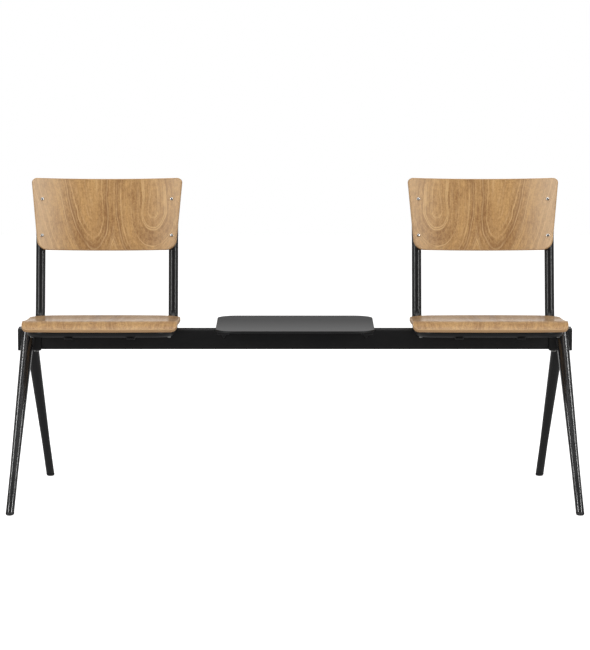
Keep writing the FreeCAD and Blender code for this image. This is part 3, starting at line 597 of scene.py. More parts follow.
def inside(point, loop):
    odd = False
    before = loop[-1]
    for here in loop:
        if (here.y > point.y) != (before.y > point.y):
            if point.x < (before.x - here.x) * (point.y - here.y) / (before.y - here.y) + here.x:
                odd = not odd
        before = here
    return odd


boardGrid = {"edgeSteps": 4, "rim": 0.35, "margin": 1.7}


def boardMesh(name, outline, board, bend, sharp=60, edgeSlot=1):
    # a flat board with eased edges, carried to its place by bend(across, along, depth)
    thickness, ease, spacing = board["thickness"], board["ease"], board["spacing"]
    # each ring's reach in from the outline, and its depth, from the upper face round the edge to the lower
    specs = [(ease + spacing, 0), (ease + spacing * boardGrid["rim"], 0)]
    for number in range(boardGrid["edgeSteps"] + 1):
        turn = math.pi / 2 * number / boardGrid["edgeSteps"]
        specs.append((ease * (1 - math.sin(turn)), ease * (1 - math.cos(turn))))
    specs += [(reach, thickness - depth) for reach, depth in reversed(specs)]
    loops = {reach: inset(outline, reach) for reach, depth in specs}
    inner = loops[ease + spacing]
    count = len(inner)

    # the faces between the inner rings: points on a grid, joined by triangles
    margin = inset(outline, ease + spacing * boardGrid["margin"])
    low = [min(point[axis] for point in outline) for axis in (0, 1)]
    size = [max(point[axis] for point in outline) - low[axis] for axis in (0, 1)]
    columns, rows = round(size[0] / spacing), round(size[1] / spacing)
    lattice = [Vector((low[0] + size[0] * i / columns, low[1] + size[1] * j / rows))
               for i in range(1, columns) for j in range(1, rows)]
    lattice = [point for point in lattice if inside(point, margin)]
    rim = [(index, (index + 1) % count) for index in range(count)]
    triangles, origins = delaunay_2d_cdt(inner + lattice, rim, [], 1, tolerance["join"])[2:4]
    places = inner + lattice

    shape = bmesh.new()
    layer = shape.loops.layers.uv.new("board")
    rings = [[shape.verts.new(bend(p.x, p.y, depth)) for p in loops[reach]] for reach, depth in specs]
    lengths = [0.0]
    for index in range(count):
        lengths.append(lengths[-1] + (outline[(index + 1) % count] - outline[index]).length)
    for number in range(len(rings) - 1):
        onEdge = specs[number][1] != specs[number + 1][1]
        for index in range(count):
            after = (index + 1) % count
            corners = [(number, after), (number, index), (number + 1, index), (number + 1, after)]
            face = shape.faces.new([rings[ring][at] for ring, at in corners])
            face.material_index = edgeSlot if onEdge else 0
            for loop, (ring, at) in zip(face.loops, corners):
                reach, depth = specs[ring]
                along = lengths[index + 1] if at == after else lengths[index]
                loop[layer].uv = (along, depth) if onEdge else loops[reach][at]
    for ring, depth in ((rings[0], 0), (rings[-1], thickness)):
        verts = ring + [shape.verts.new(bend(p.x, p.y, depth)) for p in lattice]
        for triangle in triangles:
            corners = [origins[number][0] for number in triangle]
            if depth:
                corners.reverse()
            face = shape.faces.new([verts[number] for number in corners])
            for loop, number in zip(face.loops, corners):
                loop[layer].uv = places[number]
    return meshFrom(name, shape, sharp)


# Trees for tubes, welds and fixings

def runTree(name, source, tree, values):
    # gives source the tree as a modifier, sets its named inputs and keeps the result as a plain mesh
    modifier = source.modifiers.new(tree.name, "NODES")
    modifier.node_group = tree
    for item in tree.interface.items_tree:
        if item.name in values:
            modifier[item.identifier] = values[item.name]
    source.name = name
    return applyModifiers(source)


def newShapeTree(name, inputs):
    sockets = {"Geometry": "Geometry", **inputs, "Material": "Material"}
    return newTree(name, "GeometryNodeTree", sockets, {"Geometry": "Geometry"})


def endTree(tree, source, result, geometry):
    real = addNode(tree, "GeometryNodeRealizeInstances", {"Geometry": geometry})
    painted = addNode(tree, "GeometryNodeSetMaterial", {"Geometry": real, "Material": source["Material"]})
    fill(tree, result, {"Geometry": painted})
    return tree


def makeTubeTree():
    # a round tube along a line of corners, each rounded by the radius kept on its point
    tree, source, result = newShapeTree("bentTube", {
        "Tube Radius": "Float", "Sides": "Int", "Bend Steps": "Int"})
    bent = addNode(tree, "GeometryNodeFilletCurve", {
        "Curve": source["Geometry"], "Radius": addNode(tree, "GeometryNodeInputRadius"),
        "Count": source["Bend Steps"], "Limit Radius": True}, mode="POLY")
    even = addNode(tree, "GeometryNodeSetCurveRadius", {"Curve": bent, "Radius": 1.0})
    ring = addNode(tree, "GeometryNodeCurvePrimitiveCircle",
                   {"Resolution": source["Sides"], "Radius": source["Tube Radius"]})
    tube = addNode(tree, "GeometryNodeCurveToMesh", {"Curve": even, "Profile Curve": ring, "Fill Caps": True})
    return endTree(tree, source, result, tube)


def makeBeadTree():
    # a weld bead: a thin rippled cord along a line
    tree, source, result = newShapeTree("weldBead", {
        "Bead Radius": "Float", "Sides": "Int", "Spacing": "Float", "Ripple Length": "Float",
        "Ripple Depth": "Float", "Wander": "Float", "Seed": "Int"})
    even = addNode(tree, "GeometryNodeResampleCurve",
                   {"Curve": source["Geometry"], "Length": source["Spacing"]}, mode="LENGTH")
    aside = addNode(tree, "FunctionNodeRandomValue", {"Min": (-1, -1, -1), "Max": (1, 1, 1),
                                                      "Seed": source["Seed"]}, data_type="FLOAT_VECTOR")
    wander = addNode(tree, "ShaderNodeVectorMath", {0: aside, "Scale": source["Wander"]}, operation="SCALE")
    moved = addNode(tree, "GeometryNodeSetPosition", {"Geometry": even, "Offset": wander})
    run = addNode(tree, "GeometryNodeSplineParameter").outputs["Length"]
    phase = maths(tree, "DIVIDE", product(tree, run, 2 * math.pi), source["Ripple Length"])
    wave = maths(tree, "SINE", phase)
    ring = addNode(tree, "GeometryNodeCurvePrimitiveCircle",
                   {"Resolution": source["Sides"], "Radius": source["Bead Radius"]})
    cord = addNode(tree, "GeometryNodeCurveToMesh", {
        "Curve": moved, "Profile Curve": ring, "Fill Caps": True,
        "Scale": total(tree, product(tree, wave, source["Ripple Depth"]), 1.0)})
    return endTree(tree, source, result, addNode(tree, "GeometryNodeSetShadeSmooth", {"Geometry": cord}))


def makeFixingTree():
    # one fixing at each point, its axis along the point's heading
    tree, source, result = newShapeTree("fixingsAtPoints", {
        "Fixing": "Object", "Turn Seed": "Int", "Turn Range": "Float"})
    fixing = addNode(tree, "GeometryNodeObjectInfo", {"Object": source["Fixing"]})
    heading = addNode(tree, "GeometryNodeInputNamedAttribute", {"Name": "heading"}, data_type="FLOAT_VECTOR")
    aimed = addNode(tree, "FunctionNodeAlignRotationToVector", {"Vector": heading}, axis="Z")
    turn = addNode(tree, "FunctionNodeRandomValue",
                   {2: 0.0, 3: source["Turn Range"], "Seed": source["Turn Seed"]}, data_type="FLOAT")
    spin = addNode(tree, "FunctionNodeAxisAngleToRotation", {"Axis": (0, 0, 1), "Angle": turn.outputs[1]})
    both = addNode(tree, "FunctionNodeRotateRotation", {"Rotation": aimed, "Rotate By": spin},
                   rotation_space="LOCAL")
    placed = addNode(tree, "GeometryNodeInstanceOnPoints", {
        "Points": source["Geometry"], "Instance": fixing.outputs["Geometry"], "Rotation": both})
    return endTree(tree, source, result, placed)


tubeTree = makeTubeTree()
beadTree = makeBeadTree()
fixingTree = makeFixingTree()
print("trees built")


def lineObject(points, radii=None):
    curve = bpy.data.curves.new("line", "CURVE")
    curve.dimensions = "3D"
    spline = curve.splines.new("POLY")
    spline.points.add(len(points) - 1)
    for index, point in enumerate(points):
        spline.points[index].co = (*point, 1)
        spline.points[index].radius = radii[index] if radii else 1
    return addObject("line", curve)


def fixingSet(name, shape, spots, material, slot, replaced, turnRange=6.0):
    # spots: place and heading of each fixing
    mesh = bpy.data.meshes.new("spots")
    mesh.from_pydata([spot for spot, heading in spots], [], [])
    headings = mesh.attributes.new("heading", "FLOAT_VECTOR", "POINT")
    for index, (spot, heading) in enumerate(spots):
        headings.data[index].vector = heading
    template = bpy.data.objects.new("template", meshFrom("template", shape, sharp=35))
    values = {"Fixing": template, "Turn Seed": len(name), "Turn Range": turnRange, "Material": material}
    piece = runTree(name, addObject("spots", mesh), fixingTree, values)
    bpy.data.objects.remove(template)
    settle(piece, slot, replaced)


weld = {"radius": 0.0017, "legRadius": 0.0019, "sides": 9, "spacing": 0.0006, "ripple": 0.0021,
        "rippleDepth": 0.16, "wander": 0.0003, "stand": 0.0004, "armSeed": 5, "legSeed": 11, "railSeed": 20}


def bead(name, points, seed, radius=weld["radius"]):
    values = {"Bead Radius": radius, "Sides": weld["sides"], "Spacing": weld["spacing"],
              "Ripple Length": weld["ripple"], "Ripple Depth": weld["rippleDepth"], "Wander": weld["wander"],
              "Seed": seed, "Material": finish["powderOverWeld"]}
    settle(runTree(name, lineObject(points), beadTree, values), "powder_coat_black")


# edge: share of the head's height at its rim; bulge: how full its round is; tipShare: of the shank's
# radius; recessWidth: of the socket's radius
panHead = {"edge": 0.45, "bulge": 0.6, "tip": 0.0005, "tipShare": 0.9, "recessWidth": 0.55,
           "recessLift": 0.0002}


def screwShape(screw):
    # pan head with a cross recess, pointing along +Z, shank below
    radius, height, shank = screw["radius"], screw["height"], screw["shank"]
    socket, depth, length = screw["socket"], screw["socketDepth"], screw["length"]
    outline = [(0, -length), (shank * panHead["tipShare"], -length), (shank, panHead["tip"] - length),
               (shank, 0), (radius, 0)]
    for degrees in range(0, 70, 10):
        turn = math.radians(degrees)
        rise = panHead["edge"] + (1 - panHead["edge"]) * math.sin(turn)
        outline.append((radius * math.cos(turn) ** panHead["bulge"], height * rise))
    outline += [(socket, height), (0, height)]
    head = addObject("head", meshFrom("head", turnedShape(outline, facets=24), sharp=35))
    cross = bmesh.new()
    lift = Matrix.Translation((0, 0, height - depth / 2 + panHead["recessLift"]))
    size = Matrix.Diagonal((socket * 2, socket * panHead["recessWidth"], depth, 1))
    for turn in (0, math.pi / 2):
        bmesh.ops.create_cube(cross, size=1.0, matrix=lift @ Matrix.Rotation(turn, 4, "Z") @ size)
    made = carve(head, addObject("cross", meshFrom("cross", cross)), crossed=True)
    shape = bmesh.new()
    shape.from_mesh(made.data)
    bpy.data.objects.remove(made)
    return shape


# Chairs

chair = {
    "centre": 0.490, "railHeight": 0.426, "railSlope": 4.4, "spacing": 0.346, "tube": 0.0125,
    "crossTube": 0.156, "uprightFoot": 0.195, "recline": 12, "backTop": 0.3865, "uprightTop": 0.3655,
    "frontBend": 0.045, "rearBend": 0.055, "endBend": 0.001, "facets": 40, "bendSteps": 14,
}
railSlope = Matrix.Rotation(math.radians(-chair["railSlope"]), 4, "X")


def railHeight(y):
    return chair["railHeight"] - y * math.tan(math.radians(chair["railSlope"]))


def uprightFrame(side):
    # Z runs up the upright, Y runs back
    foot = (side * chair["centre"], chair["uprightFoot"], railHeight(chair["uprightFoot"]))
    return Matrix.Translation(foot) @ Matrix.Rotation(math.radians(-chair["recline"]), 4, "X")


def makeSeatFrame(word, side):
    place = uprightFrame(side)
    points, radii = [], []
    for step in (-1, 1):
        x = step * chair["spacing"] / 2
        run = [place @ Vector((x, 0, chair["uprightTop"])), place @ Vector((x, 0, 0)),
               Vector((side * chair["centre"] + x, -chair["crossTube"], railHeight(-chair["crossTube"])))]
        bends = [chair["endBend"], chair["rearBend"], chair["frontBend"]]
        points += run[::-step]
        radii += bends[::-step]
    values = {"Tube Radius": chair["tube"], "Sides": chair["facets"], "Bend Steps": chair["bendSteps"],
              "Material": finish["powderBlack"]}
    tube = runTree(f"seatFrame_{word}", lineObject(points, radii), tubeTree, values)
    smooth(tube.data, sharp=50)
    settle(tube, "powder_coat_black", f"seat_frame_{word}")


plug = {"head": 0.003, "ease": 0.0012, "lip": 0.0003, "dome": 0.0009, "stem": 0.010, "stemRadius": 0.0103,
        "stemEase": 0.001, "shoulder": (0.3, 0.35)}


def makeFramePlugs(word, side):
    ease, radius, head = plug["ease"], chair["tube"], plug["head"]
    stem, stemRadius, stemEase, lip = plug["stem"], plug["stemRadius"], plug["stemEase"], plug["lip"]
    inward, down = plug["shoulder"]
    outline = [(0, -stem), (stemRadius - stemEase, -stem), (stemRadius, stemEase - stem), (stemRadius, 0),
               (radius - lip, 0), (radius, lip), (radius, head - ease),
               (radius - ease * inward, head - ease * down), (radius - ease, head),
               (radius / 2, head + plug["dome"] * 2 / 3), (0, head + plug["dome"])]
    place = uprightFrame(side)
    spots = [(place @ Vector((step * chair["spacing"] / 2, 0, chair["uprightTop"])),
              place.to_3x3() @ Vector((0, 0, 1))) for step in (-1, 1)]
    fixingSet(f"framePlugs_{word}", turnedShape(outline, facets=36), spots, finish["plasticBlack"],
              "black_plastic", f"frame_plugs_{word}", turnRange=0.0)


arms = {
    "spacing": 0.156, "width": 0.020, "thickness": 0.005, "gap": 0.00005, "overhang": 0.006, "ease": 0.0009,
    "beamFace": -0.025, "beadInset": 0.001, "beamBead": 0.0008, "tubeBead": 0.010, "tubeBeadDrop": 0.0022,
}


def makeSupportArms(word, side):
    shape = bmesh.new()
    half = arms["width"] / 2
    reach = chair["crossTube"] / math.cos(math.radians(chair["railSlope"])) + arms["overhang"]
    top = -chair["tube"] - arms["gap"]
    low = top - arms["thickness"]
    section = ((-half, low), (half, low), (half, top), (-half, top))
    middles = [side * chair["centre"] + step * arms["spacing"] / 2 for step in (-1, 1)]
    for middle in middles:
        place = Matrix.Translation((middle, 0, chair["railHeight"])) @ railSlope
        loops = [[place @ Vector((x, y, z)) for x, z in section] for y in (-reach, arms["beamFace"])]
        for corner in loops[1]:
            corner.y = arms["beamFace"]
        skin(shape, loops)
    # all edges but those against the beam
    edges = [edge for edge in shape.edges
             if any(vert.co.y < arms["beamFace"] - arms["ease"] for vert in edge.verts)]
    roundEdges(shape, edges, arms["ease"], rows=3)
    piece = addObject(f"supportArms_{word}", meshFrom("supportArms", shape), finish["powderBlack"])
    settle(piece, "powder_coat_black", f"front_support_arms_{word}")
    # beads across each arm at the beam and behind the cross tube
    beads = (("armBead", arms["beamFace"], arms["beamBead"], arms["beamBead"]),
             ("tubeBead", arms["tubeBead"] - chair["crossTube"], 0.0, arms["tubeBeadDrop"]))
    for step, middle in zip((-1, 1), middles):
        label = f"{word}_{'inner' if step * side < 0 else 'outer'}"
        for name, y, forward, lift in beads:
            line = [Vector((middle + x, y - forward, railHeight(y) + top + lift))
                    for x in (arms["beadInset"] - half, half - arms["beadInset"])]
            bead(f"{name}_{label}", line, weld["armSeed"] + step)


seat = {
    "width": 0.389, "thickness": 0.011, "front": 0.192, "rear": 0.184, "crest": 0.465, "lip": 0.060,
    "lipTurn": 44, "slope": 6.3, "dip": 4.000, "bow": 2.350, "rearBow": 1.200, "rearCorner": 0.070,
    "lipCorner": 0.015, "ease": 0.0018, "spacing": 0.0062, "columns": 44, "lipSteps": 10, "sideStep": 0.009,
    "cornerSteps": 24, "rearSteps": 16, "layers": 9.0,
}
lipTurn, seatSlope = math.radians(seat["lipTurn"]), math.radians(seat["slope"])
lipRun = seat["lip"] * (lipTurn + seatSlope)
lipCentre = seat["lip"] * math.sin(lipTurn) - seat["front"]


def seatPoint(run, depth):
    # side view of the seat: run is the length from the lip's end, depth goes down into the board
    height = seat["crest"] - seat["lip"]
    if run < lipRun:
        angle = run / seat["lip"] - lipTurn
        reach = seat["lip"] - depth
        return lipCentre + reach * math.sin(angle), height + reach * math.cos(angle)
    far = seat["lip"] + seat["dip"]
    angle = seatSlope - (run - lipRun) / seat["dip"]
    reach = seat["dip"] + depth
    return (lipCentre + far * math.sin(seatSlope) - reach * math.sin(angle),
            height + far * math.cos(seatSlope) - reach * math.cos(angle))


def seatRun(y):
    # the length from the lip's end to a place behind the crest
    angle = math.asin((lipCentre + (seat["lip"] + seat["dip"]) * math.sin(seatSlope) - y) / seat["dip"])
    return lipRun + seat["dip"] * (seatSlope - angle)


def makeSeat(word, side):
    half, corner, big, bowed = seat["width"] / 2, seat["lipCorner"], seat["rearCorner"], seat["rearBow"]
    bowAxis = seat["bow"] - seat["front"]
    rise = corner / math.sin(lipTurn)

    def onPlan(x, y):
        return Vector((x, seatRun(bowAxis - math.hypot(bowAxis - y, x))))

    front = [Vector((-half + corner + (seat["width"] - 2 * corner) * number / seat["columns"], 0))
             for number in range(seat["columns"] + 1)]
    # the right-hand half: the lip's corner, the side, the rear corner and half of the bowed rear edge
    right = []
    for number in range(1, seat["lipSteps"] + 1):
        turn = math.pi / 2 * number / seat["lipSteps"]
        right.append(Vector((half - corner + corner * math.sin(turn), rise * (1 - math.cos(turn)))))
    rearAxis = seat["rear"] - bowed
    cornerX = half - big
    cornerY = rearAxis + math.sqrt((bowed - big) ** 2 - cornerX ** 2)
    meet = math.atan2(cornerY - rearAxis, cornerX)
    firstRun = onPlan(half, cornerY).y
    count = round((firstRun - rise) / seat["sideStep"])
    right += [Vector((half, rise + (firstRun - rise) * number / count)) for number in range(1, count)]
    for number in range(seat["cornerSteps"] + 1):
        turn = meet * number / seat["cornerSteps"]
        right.append(onPlan(cornerX + big * math.cos(turn), cornerY + big * math.sin(turn)))
    for number in range(1, seat["rearSteps"] + 1):
        turn = meet + (math.pi / 2 - meet) * number / seat["rearSteps"]
        right.append(onPlan(bowed * math.cos(turn), rearAxis + bowed * math.sin(turn)))
    outline = front + right + [Vector((-point.x, point.y)) for point in reversed(right[:-1])]

    def bend(x, run, depth):
        y, z = seatPoint(run, depth)
        return (side * chair["centre"] + x, bowAxis - math.sqrt((bowAxis - y) ** 2 - x ** 2), z)

    piece = addObject(f"seatBoard_{word}", boardMesh("seat", outline, seat, bend),
                      makeVeneerFinish("seat", word, side), seatEdge)
    settle(piece, "plywood", f"seat_{word}")


back = {
    "topWidth": 0.393, "bottomWidth": 0.358, "height": 0.188, "thickness": 0.010, "bend": 0.812,
    "topCorner": 0.012, "bottomCorner": 0.028, "fit": 0.0001, "ease": 0.0018, "spacing": 0.0055,
    "rivetInset": 0.055, "rivetRows": 0.0955, "layers": 7.0,
}
backAxis = -math.sqrt((back["bend"] + back["fit"] + chair["tube"]) ** 2 - (chair["spacing"] / 2) ** 2)


def makeBackrest(word, side):
    wide, narrow, height = back["topWidth"] / 2, back["bottomWidth"] / 2, back["height"]
    outline = roundedOutline([(-narrow, 0), (narrow, 0), (wide, height), (-wide, height)],
                             [back["bottomCorner"]] * 2 + [back["topCorner"]] * 2)
    place = uprightFrame(side)

    def bend(x, z, depth):
        turn = math.asin(x / (back["bend"] - back["thickness"] / 2))
        radius = back["bend"] - back["thickness"] + depth
        return place @ Vector((radius * math.sin(turn), backAxis + radius * math.cos(turn),
                               chair["backTop"] - height + z))

    piece = addObject(f"backrestBoard_{word}", boardMesh("backrest", outline, back, bend),
                      makeVeneerFinish("backrest", word, side), backEdge)
    settle(piece, "plywood", f"backrest_{word}")


rivet = {"head": 0.0044, "dome": 0.0022, "shank": 0.0025, "grip": 0.03515, "gap": 0.00005}


def makeRivets(word, side):
    # dome, shank through board and tube, dome
    turns = [math.radians(turn) for turn in range(0, 90, 10)]
    dome = [(rivet["head"] * math.cos(turn), rivet["dome"] * math.sin(turn)) for turn in turns]
    upper = [(rivet["shank"], 0)] + dome + [(0, rivet["dome"])]
    outline = [(radius, -rivet["grip"] - height) for radius, height in reversed(upper)] + upper
    place = uprightFrame(side)
    spots = []
    front = back["bend"] - back["thickness"] - rivet["gap"]
    for drop in (back["rivetInset"], back["rivetInset"] + back["rivetRows"]):
        for step in (-1, 1):
            aim = Vector((step * chair["spacing"] / 2, -backAxis, 0)).normalized()
            spot = place @ (Vector((0, backAxis, chair["backTop"] - drop)) + aim * front)
            spots.append((spot, place.to_3x3() @ -aim))
    fixingSet(f"backrestRivets_{word}", turnedShape(outline), spots, finish["rivetMetal"], "aluminium_rivet",
              f"backrest_rivets_{word}")


seatScrew = {"radius": 0.0045, "height": 0.003, "shank": 0.0024, "length": 0.036, "socket": 0.0024,
             "socketDepth": 0.0014, "front": -0.105, "rear": 0.115}


def makeSeatScrews(word, side):
    spots = []
    for y in (seatScrew["front"], seatScrew["rear"]):
        for step in (-1, 1):
            x = side * chair["centre"] + step * chair["spacing"] / 2
            place = Matrix.Translation((x, y, railHeight(y))) @ railSlope
            spots.append((place @ Vector((0, 0, -chair["tube"])), place.to_3x3() @ Vector((0, 0, -1))))
    fixingSet(f"seatScrews_{word}", screwShape(seatScrew), spots, finish["zincPlate"], "zinc_plated_steel",
              f"seat_screws_{word}")


# Beam and legs

beam = {
    "half": 0.702, "side": 0.050, "corner": 0.004, "wall": 0.0025, "ease": 0.0004, "axis": 0.4035,
    "cornerSteps": 6, "leastCorner": 0.001, "easeShare": 0.3,
}
sleeve = {"start": 0.6465, "side": 0.0562, "corner": 0.005, "wall": 0.003, "ease": 0.0006}


def squareTube(name, start, end, tube):
    # outer skin, eased ends and bore, as one closed shape
    side, corner, wall, ease = tube["side"], tube["corner"], tube["wall"], tube["ease"]
    bore = (side - 2 * wall, max(corner - wall, beam["leastCorner"]))
    rim = (side - 2 * ease, corner - ease / 2)
    part = ease * beam["easeShare"]
    specs = [(start + ease, side, corner), (end - ease, side, corner), (end - part, side - 2 * part, corner),
             (end, *rim), (end, *bore), (start, *bore), (start, *rim),
             (start + part, side - 2 * part, corner)]
    steps = beam["cornerSteps"]
    arcs = [(y, z, math.pi / 2 * (quadrant + number / steps))
            for quadrant, (y, z) in enumerate(((1, 1), (-1, 1), (-1, -1), (1, -1)))
            for number in range(steps + 1)]
    shape = bmesh.new()
    skin(shape, [[(x, y * (width / 2 - radius) + radius * math.cos(turn),
                   beam["axis"] + z * (width / 2 - radius) + radius * math.sin(turn))
                  for y, z, turn in arcs] for x, width, radius in specs], around=True)
    return meshFrom(name, shape)


def makeBeam():
    mesh = squareTube("beam", -beam["half"], beam["half"], beam)
    settle(addObject("beamTube", mesh, finish["powderMatt"]), "powder_coat_black", "beam")


def makeSleeve(word, side):
    start, end = sorted((side * sleeve["start"], side * beam["half"]))
    mesh = squareTube("sleeve", start, end, sleeve)
    piece = addObject(f"legSleeve_{word}", mesh, finish["powderBlack"])
    settle(piece, "powder_coat_black", f"leg_sleeve_{word}")


endCap = {"thickness": 0.0025, "ease": 0.0009, "spacing": 0.004, "arcStep": 0.0012, "dome": 0.0006,
          "flatness": 4}
capPlug = {"length": 0.010, "side": 0.0448, "corner": 0.0015, "wall": 0.002, "ease": 0.0003}


def makeEndCap(word, side):
    # a softly domed flange, and the hollow plug behind it
    half = sleeve["side"] / 2
    outline = roundedOutline(rectangle(half, half), [sleeve["corner"]] * 4, endCap["arcStep"])

    def bend(a, b, depth):
        out = min(1, max(abs(a), abs(b)) / half)
        dome = 0 if depth else endCap["dome"] * (1 - out ** endCap["flatness"])
        return (side * (beam["half"] + endCap["thickness"] - depth + dome), side * a, beam["axis"] + b)

    mesh = boardMesh("endCap", outline, endCap, bend, sharp=50, edgeSlot=0)
    piece = addObject(f"beamEndCap_{word}", mesh, finish["plasticBlack"])
    settle(piece, "black_plastic", f"beam_end_cap_{word}")
    start, end = sorted((side * (beam["half"] - capPlug["length"]), side * beam["half"]))
    mesh = squareTube("capPlug", start, end, capPlug)
    settle(addObject(f"endCapPlug_{word}", mesh, finish["plasticBlack"]), "black_plastic")


leg = {
    "centre": 0.677, "apex": 0.4441, "spread": 0.305, "toe": 0.030, "topRadius": 0.0165, "footRadius": 0.0105,
    "straight": 0.120, "face": 0.0281, "facets": 48, "below": 0.05, "taperStart": 0.02, "ease": 0.0005,
    "notchFit": 0.00015, "notchReach": 0.06, "beadGap": 0.0012,
}
glide = {"height": 0.008, "gap": 0.0002, "grow": 0.0002, "round": 0.0048, "roundRows": 6, "ease": 0.0004}


def trimFlat(shape, spot, normal):
    # cuts away what lies beyond the plane and closes the cut
    geometry = shape.verts[:] + shape.edges[:] + shape.faces[:]
    cut = bmesh.ops.bisect_plane(shape, geom=geometry, plane_co=spot, plane_no=normal, clear_outer=True,
                                 dist=tolerance["join"])
    edges = [item for item in cut["geom_cut"] if isinstance(item, bmesh.types.BMEdge)]
    if edges:
        bmesh.ops.contextual_create(shape, geom=edges)


def legSlice(side, end, low, high, grow=0.0):
    # the leg's round taper between two heights, flat against the sleeve
    foot = Vector((side * (leg["centre"] - end * leg["toe"]), end * leg["spread"], 0))
    apex = Vector((side * leg["centre"], 0, leg["apex"]))
    along = (apex - foot).normalized()
    length = (apex - foot).length
    across = along.orthogonal().normalized()
    other = along.cross(across)
    growth = (leg["topRadius"] - leg["footRadius"]) / (length - leg["straight"])
    stations = ((-leg["below"], leg["footRadius"]), (leg["straight"], leg["footRadius"]),
                (leg["straight"] + leg["taperStart"], leg["footRadius"] + growth * leg["taperStart"]),
                (length, leg["topRadius"]))
    shape = bmesh.new()
    skin(shape, [[foot + along * run + (across * x + other * y) * (radius + grow)
                  for x, y in circle(leg["facets"])] for run, radius in stations])
    trimFlat(shape, (0, 0, low), (0, 0, -1))
    trimFlat(shape, (0, 0, high), (0, 0, 1))
    trimFlat(shape, (0, end * leg["face"], 0), (0, -end, 0))
    return shape


def flatEdges(shape, height):
    return [edge for edge in shape.edges
            if all(abs(vert.co.z - height) < tolerance["level"] for vert in edge.verts)]


def makeGlide(word, side, endWord, end):
    shape = legSlice(side, end, 0.0, glide["height"], glide["grow"])
    roundEdges(shape, flatEdges(shape, 0.0), glide["round"], glide["roundRows"])
    roundEdges(shape, flatEdges(shape, glide["height"]), glide["ease"])
    piece = addObject(f"footGlide_{endWord}_{word}", meshFrom("glide", shape), finish["plasticBlack"])
    settle(piece, "black_plastic", f"foot_glide_{endWord}_{word}")


def makeLeg(word, side, endWord, end):
    start = glide["height"] + glide["gap"]
    shape = legSlice(side, end, start, leg["apex"])
    rim = [vert.co.copy() for vert in shape.verts
           if abs(vert.co.y - end * leg["face"]) < tolerance["face"]]
    roundEdges(shape, flatEdges(shape, start), leg["ease"])
    material = finish["powderGloss"] if end < 0 else finish["powderBlack"]
    piece = addObject(f"{endWord}Leg_{word}", meshFrom("leg", shape), material)
    # the notch that lets the outer rail through
    railX = side * (chair["centre"] + chair["spacing"] / 2)
    line = lineObject([(railX, y, railHeight(y)) for y in (-leg["notchReach"], leg["notchReach"])])
    values = {"Tube Radius": chair["tube"] + leg["notchFit"], "Sides": leg["facets"],
              "Bend Steps": chair["bendSteps"], "Material": finish["powderBlack"]}
    piece = carve(piece, runTree("rail", line, tubeTree, values))
    smooth(piece.data, sharp=40)
    settle(piece, "powder_coat_black", f"{endWord}_leg_{word}")
    makeGlide(word, side, endWord, end)
    # weld round the leg where it meets the sleeve, open where the rail passes
    centre = sum(rim, Vector()) / len(rim)
    rim.sort(key=lambda p: math.atan2(p.x - centre.x, centre.z - p.z))
    gap = chair["tube"] + leg["beadGap"]
    besideRail = [math.hypot(p.x - railX, p.z - railHeight(p.y)) < gap for p in rim]
    first = next(index for index in range(len(rim)) if besideRail[index - 1] and not besideRail[index])
    order = [*range(first, len(rim)), *range(first)]
    line = [rim[index] + Vector((0, end * weld["stand"], 0)) for index in order if not besideRail[index]]
    bead(f"legBead_{endWord}_{word}", line, weld["legSeed"] + 2 * side + end, weld["legRadius"])


railBead = {"sink": 0.001, "reach": 0.0003, "steps": 32}


def makeRailBeads(word, side):
    # welds under each rail where it leaves the beam or the sleeve
    reach = chair["tube"] + railBead["reach"]
    for step in (-1, 1):
        x = side * chair["centre"] + step * chair["spacing"] / 2
        place = "outer" if step * side > 0 else "inner"
        face = (sleeve if place == "outer" else beam)["side"] / 2
        top = beam["axis"] + face - railBead["sink"]
        for endWord, end in ends:
            y = end * face
            z = railHeight(y)
            widest = math.acos(max(-1, min(1, (z - top) / chair["tube"])))
            turns = [widest * (2 * number / railBead["steps"] - 1) for number in range(railBead["steps"] + 1)]
            points = [Vector((x + reach * math.sin(turn), y + end * weld["stand"],
                              z - reach * math.cos(turn))) for turn in turns]
            bead(f"railBead_{word}_{place}_{endWord}", points, weld["railSeed"] + step + end)


bolt = {"inset": 0.0125, "spacing": 0.024, "across": 0.0145, "head": 0.0053, "length": 0.016, "radius": 0.004,
        "washer": 0.45, "washerHeight": 0.0004, "ease": 0.0008, "crown": 0.88}


def boltShape():
    # hexagon with a chamfered crown and a thin washer face, pointing along +Z, shank below
    length, radius, ease, washer = bolt["length"], bolt["radius"], bolt["ease"], bolt["washerHeight"]
    wide, corner = bolt["across"] * bolt["washer"], bolt["across"] / 2
    shape = turnedShape([(0, -length), (radius - ease, -length), (radius, -length + ease), (radius, 0),
                         (wide, 0), (wide, washer), (0, washer)], facets=24)
    levels = ((corner, washer), (corner, bolt["head"] - ease), (corner * bolt["crown"], bolt["head"]))
    skin(shape, [[(reach * x, reach * y, height) for x, y in circle(6)] for reach, height in levels])
    return shape


def makeSleeveBolts(word, side):
    low = beam["axis"] - sleeve["side"] / 2
    first = sleeve["start"] + bolt["inset"]
    spots = [(Vector((side * (first + step * bolt["spacing"]), 0, low)), Vector((0, 0, -1)))
             for step in (0, 1)]
    fixingSet(f"sleeveBolts_{word}", boltShape(), spots, finish["zincPlate"], "zinc_plated_steel",
              f"sleeve_bolts_{word}")


# Table

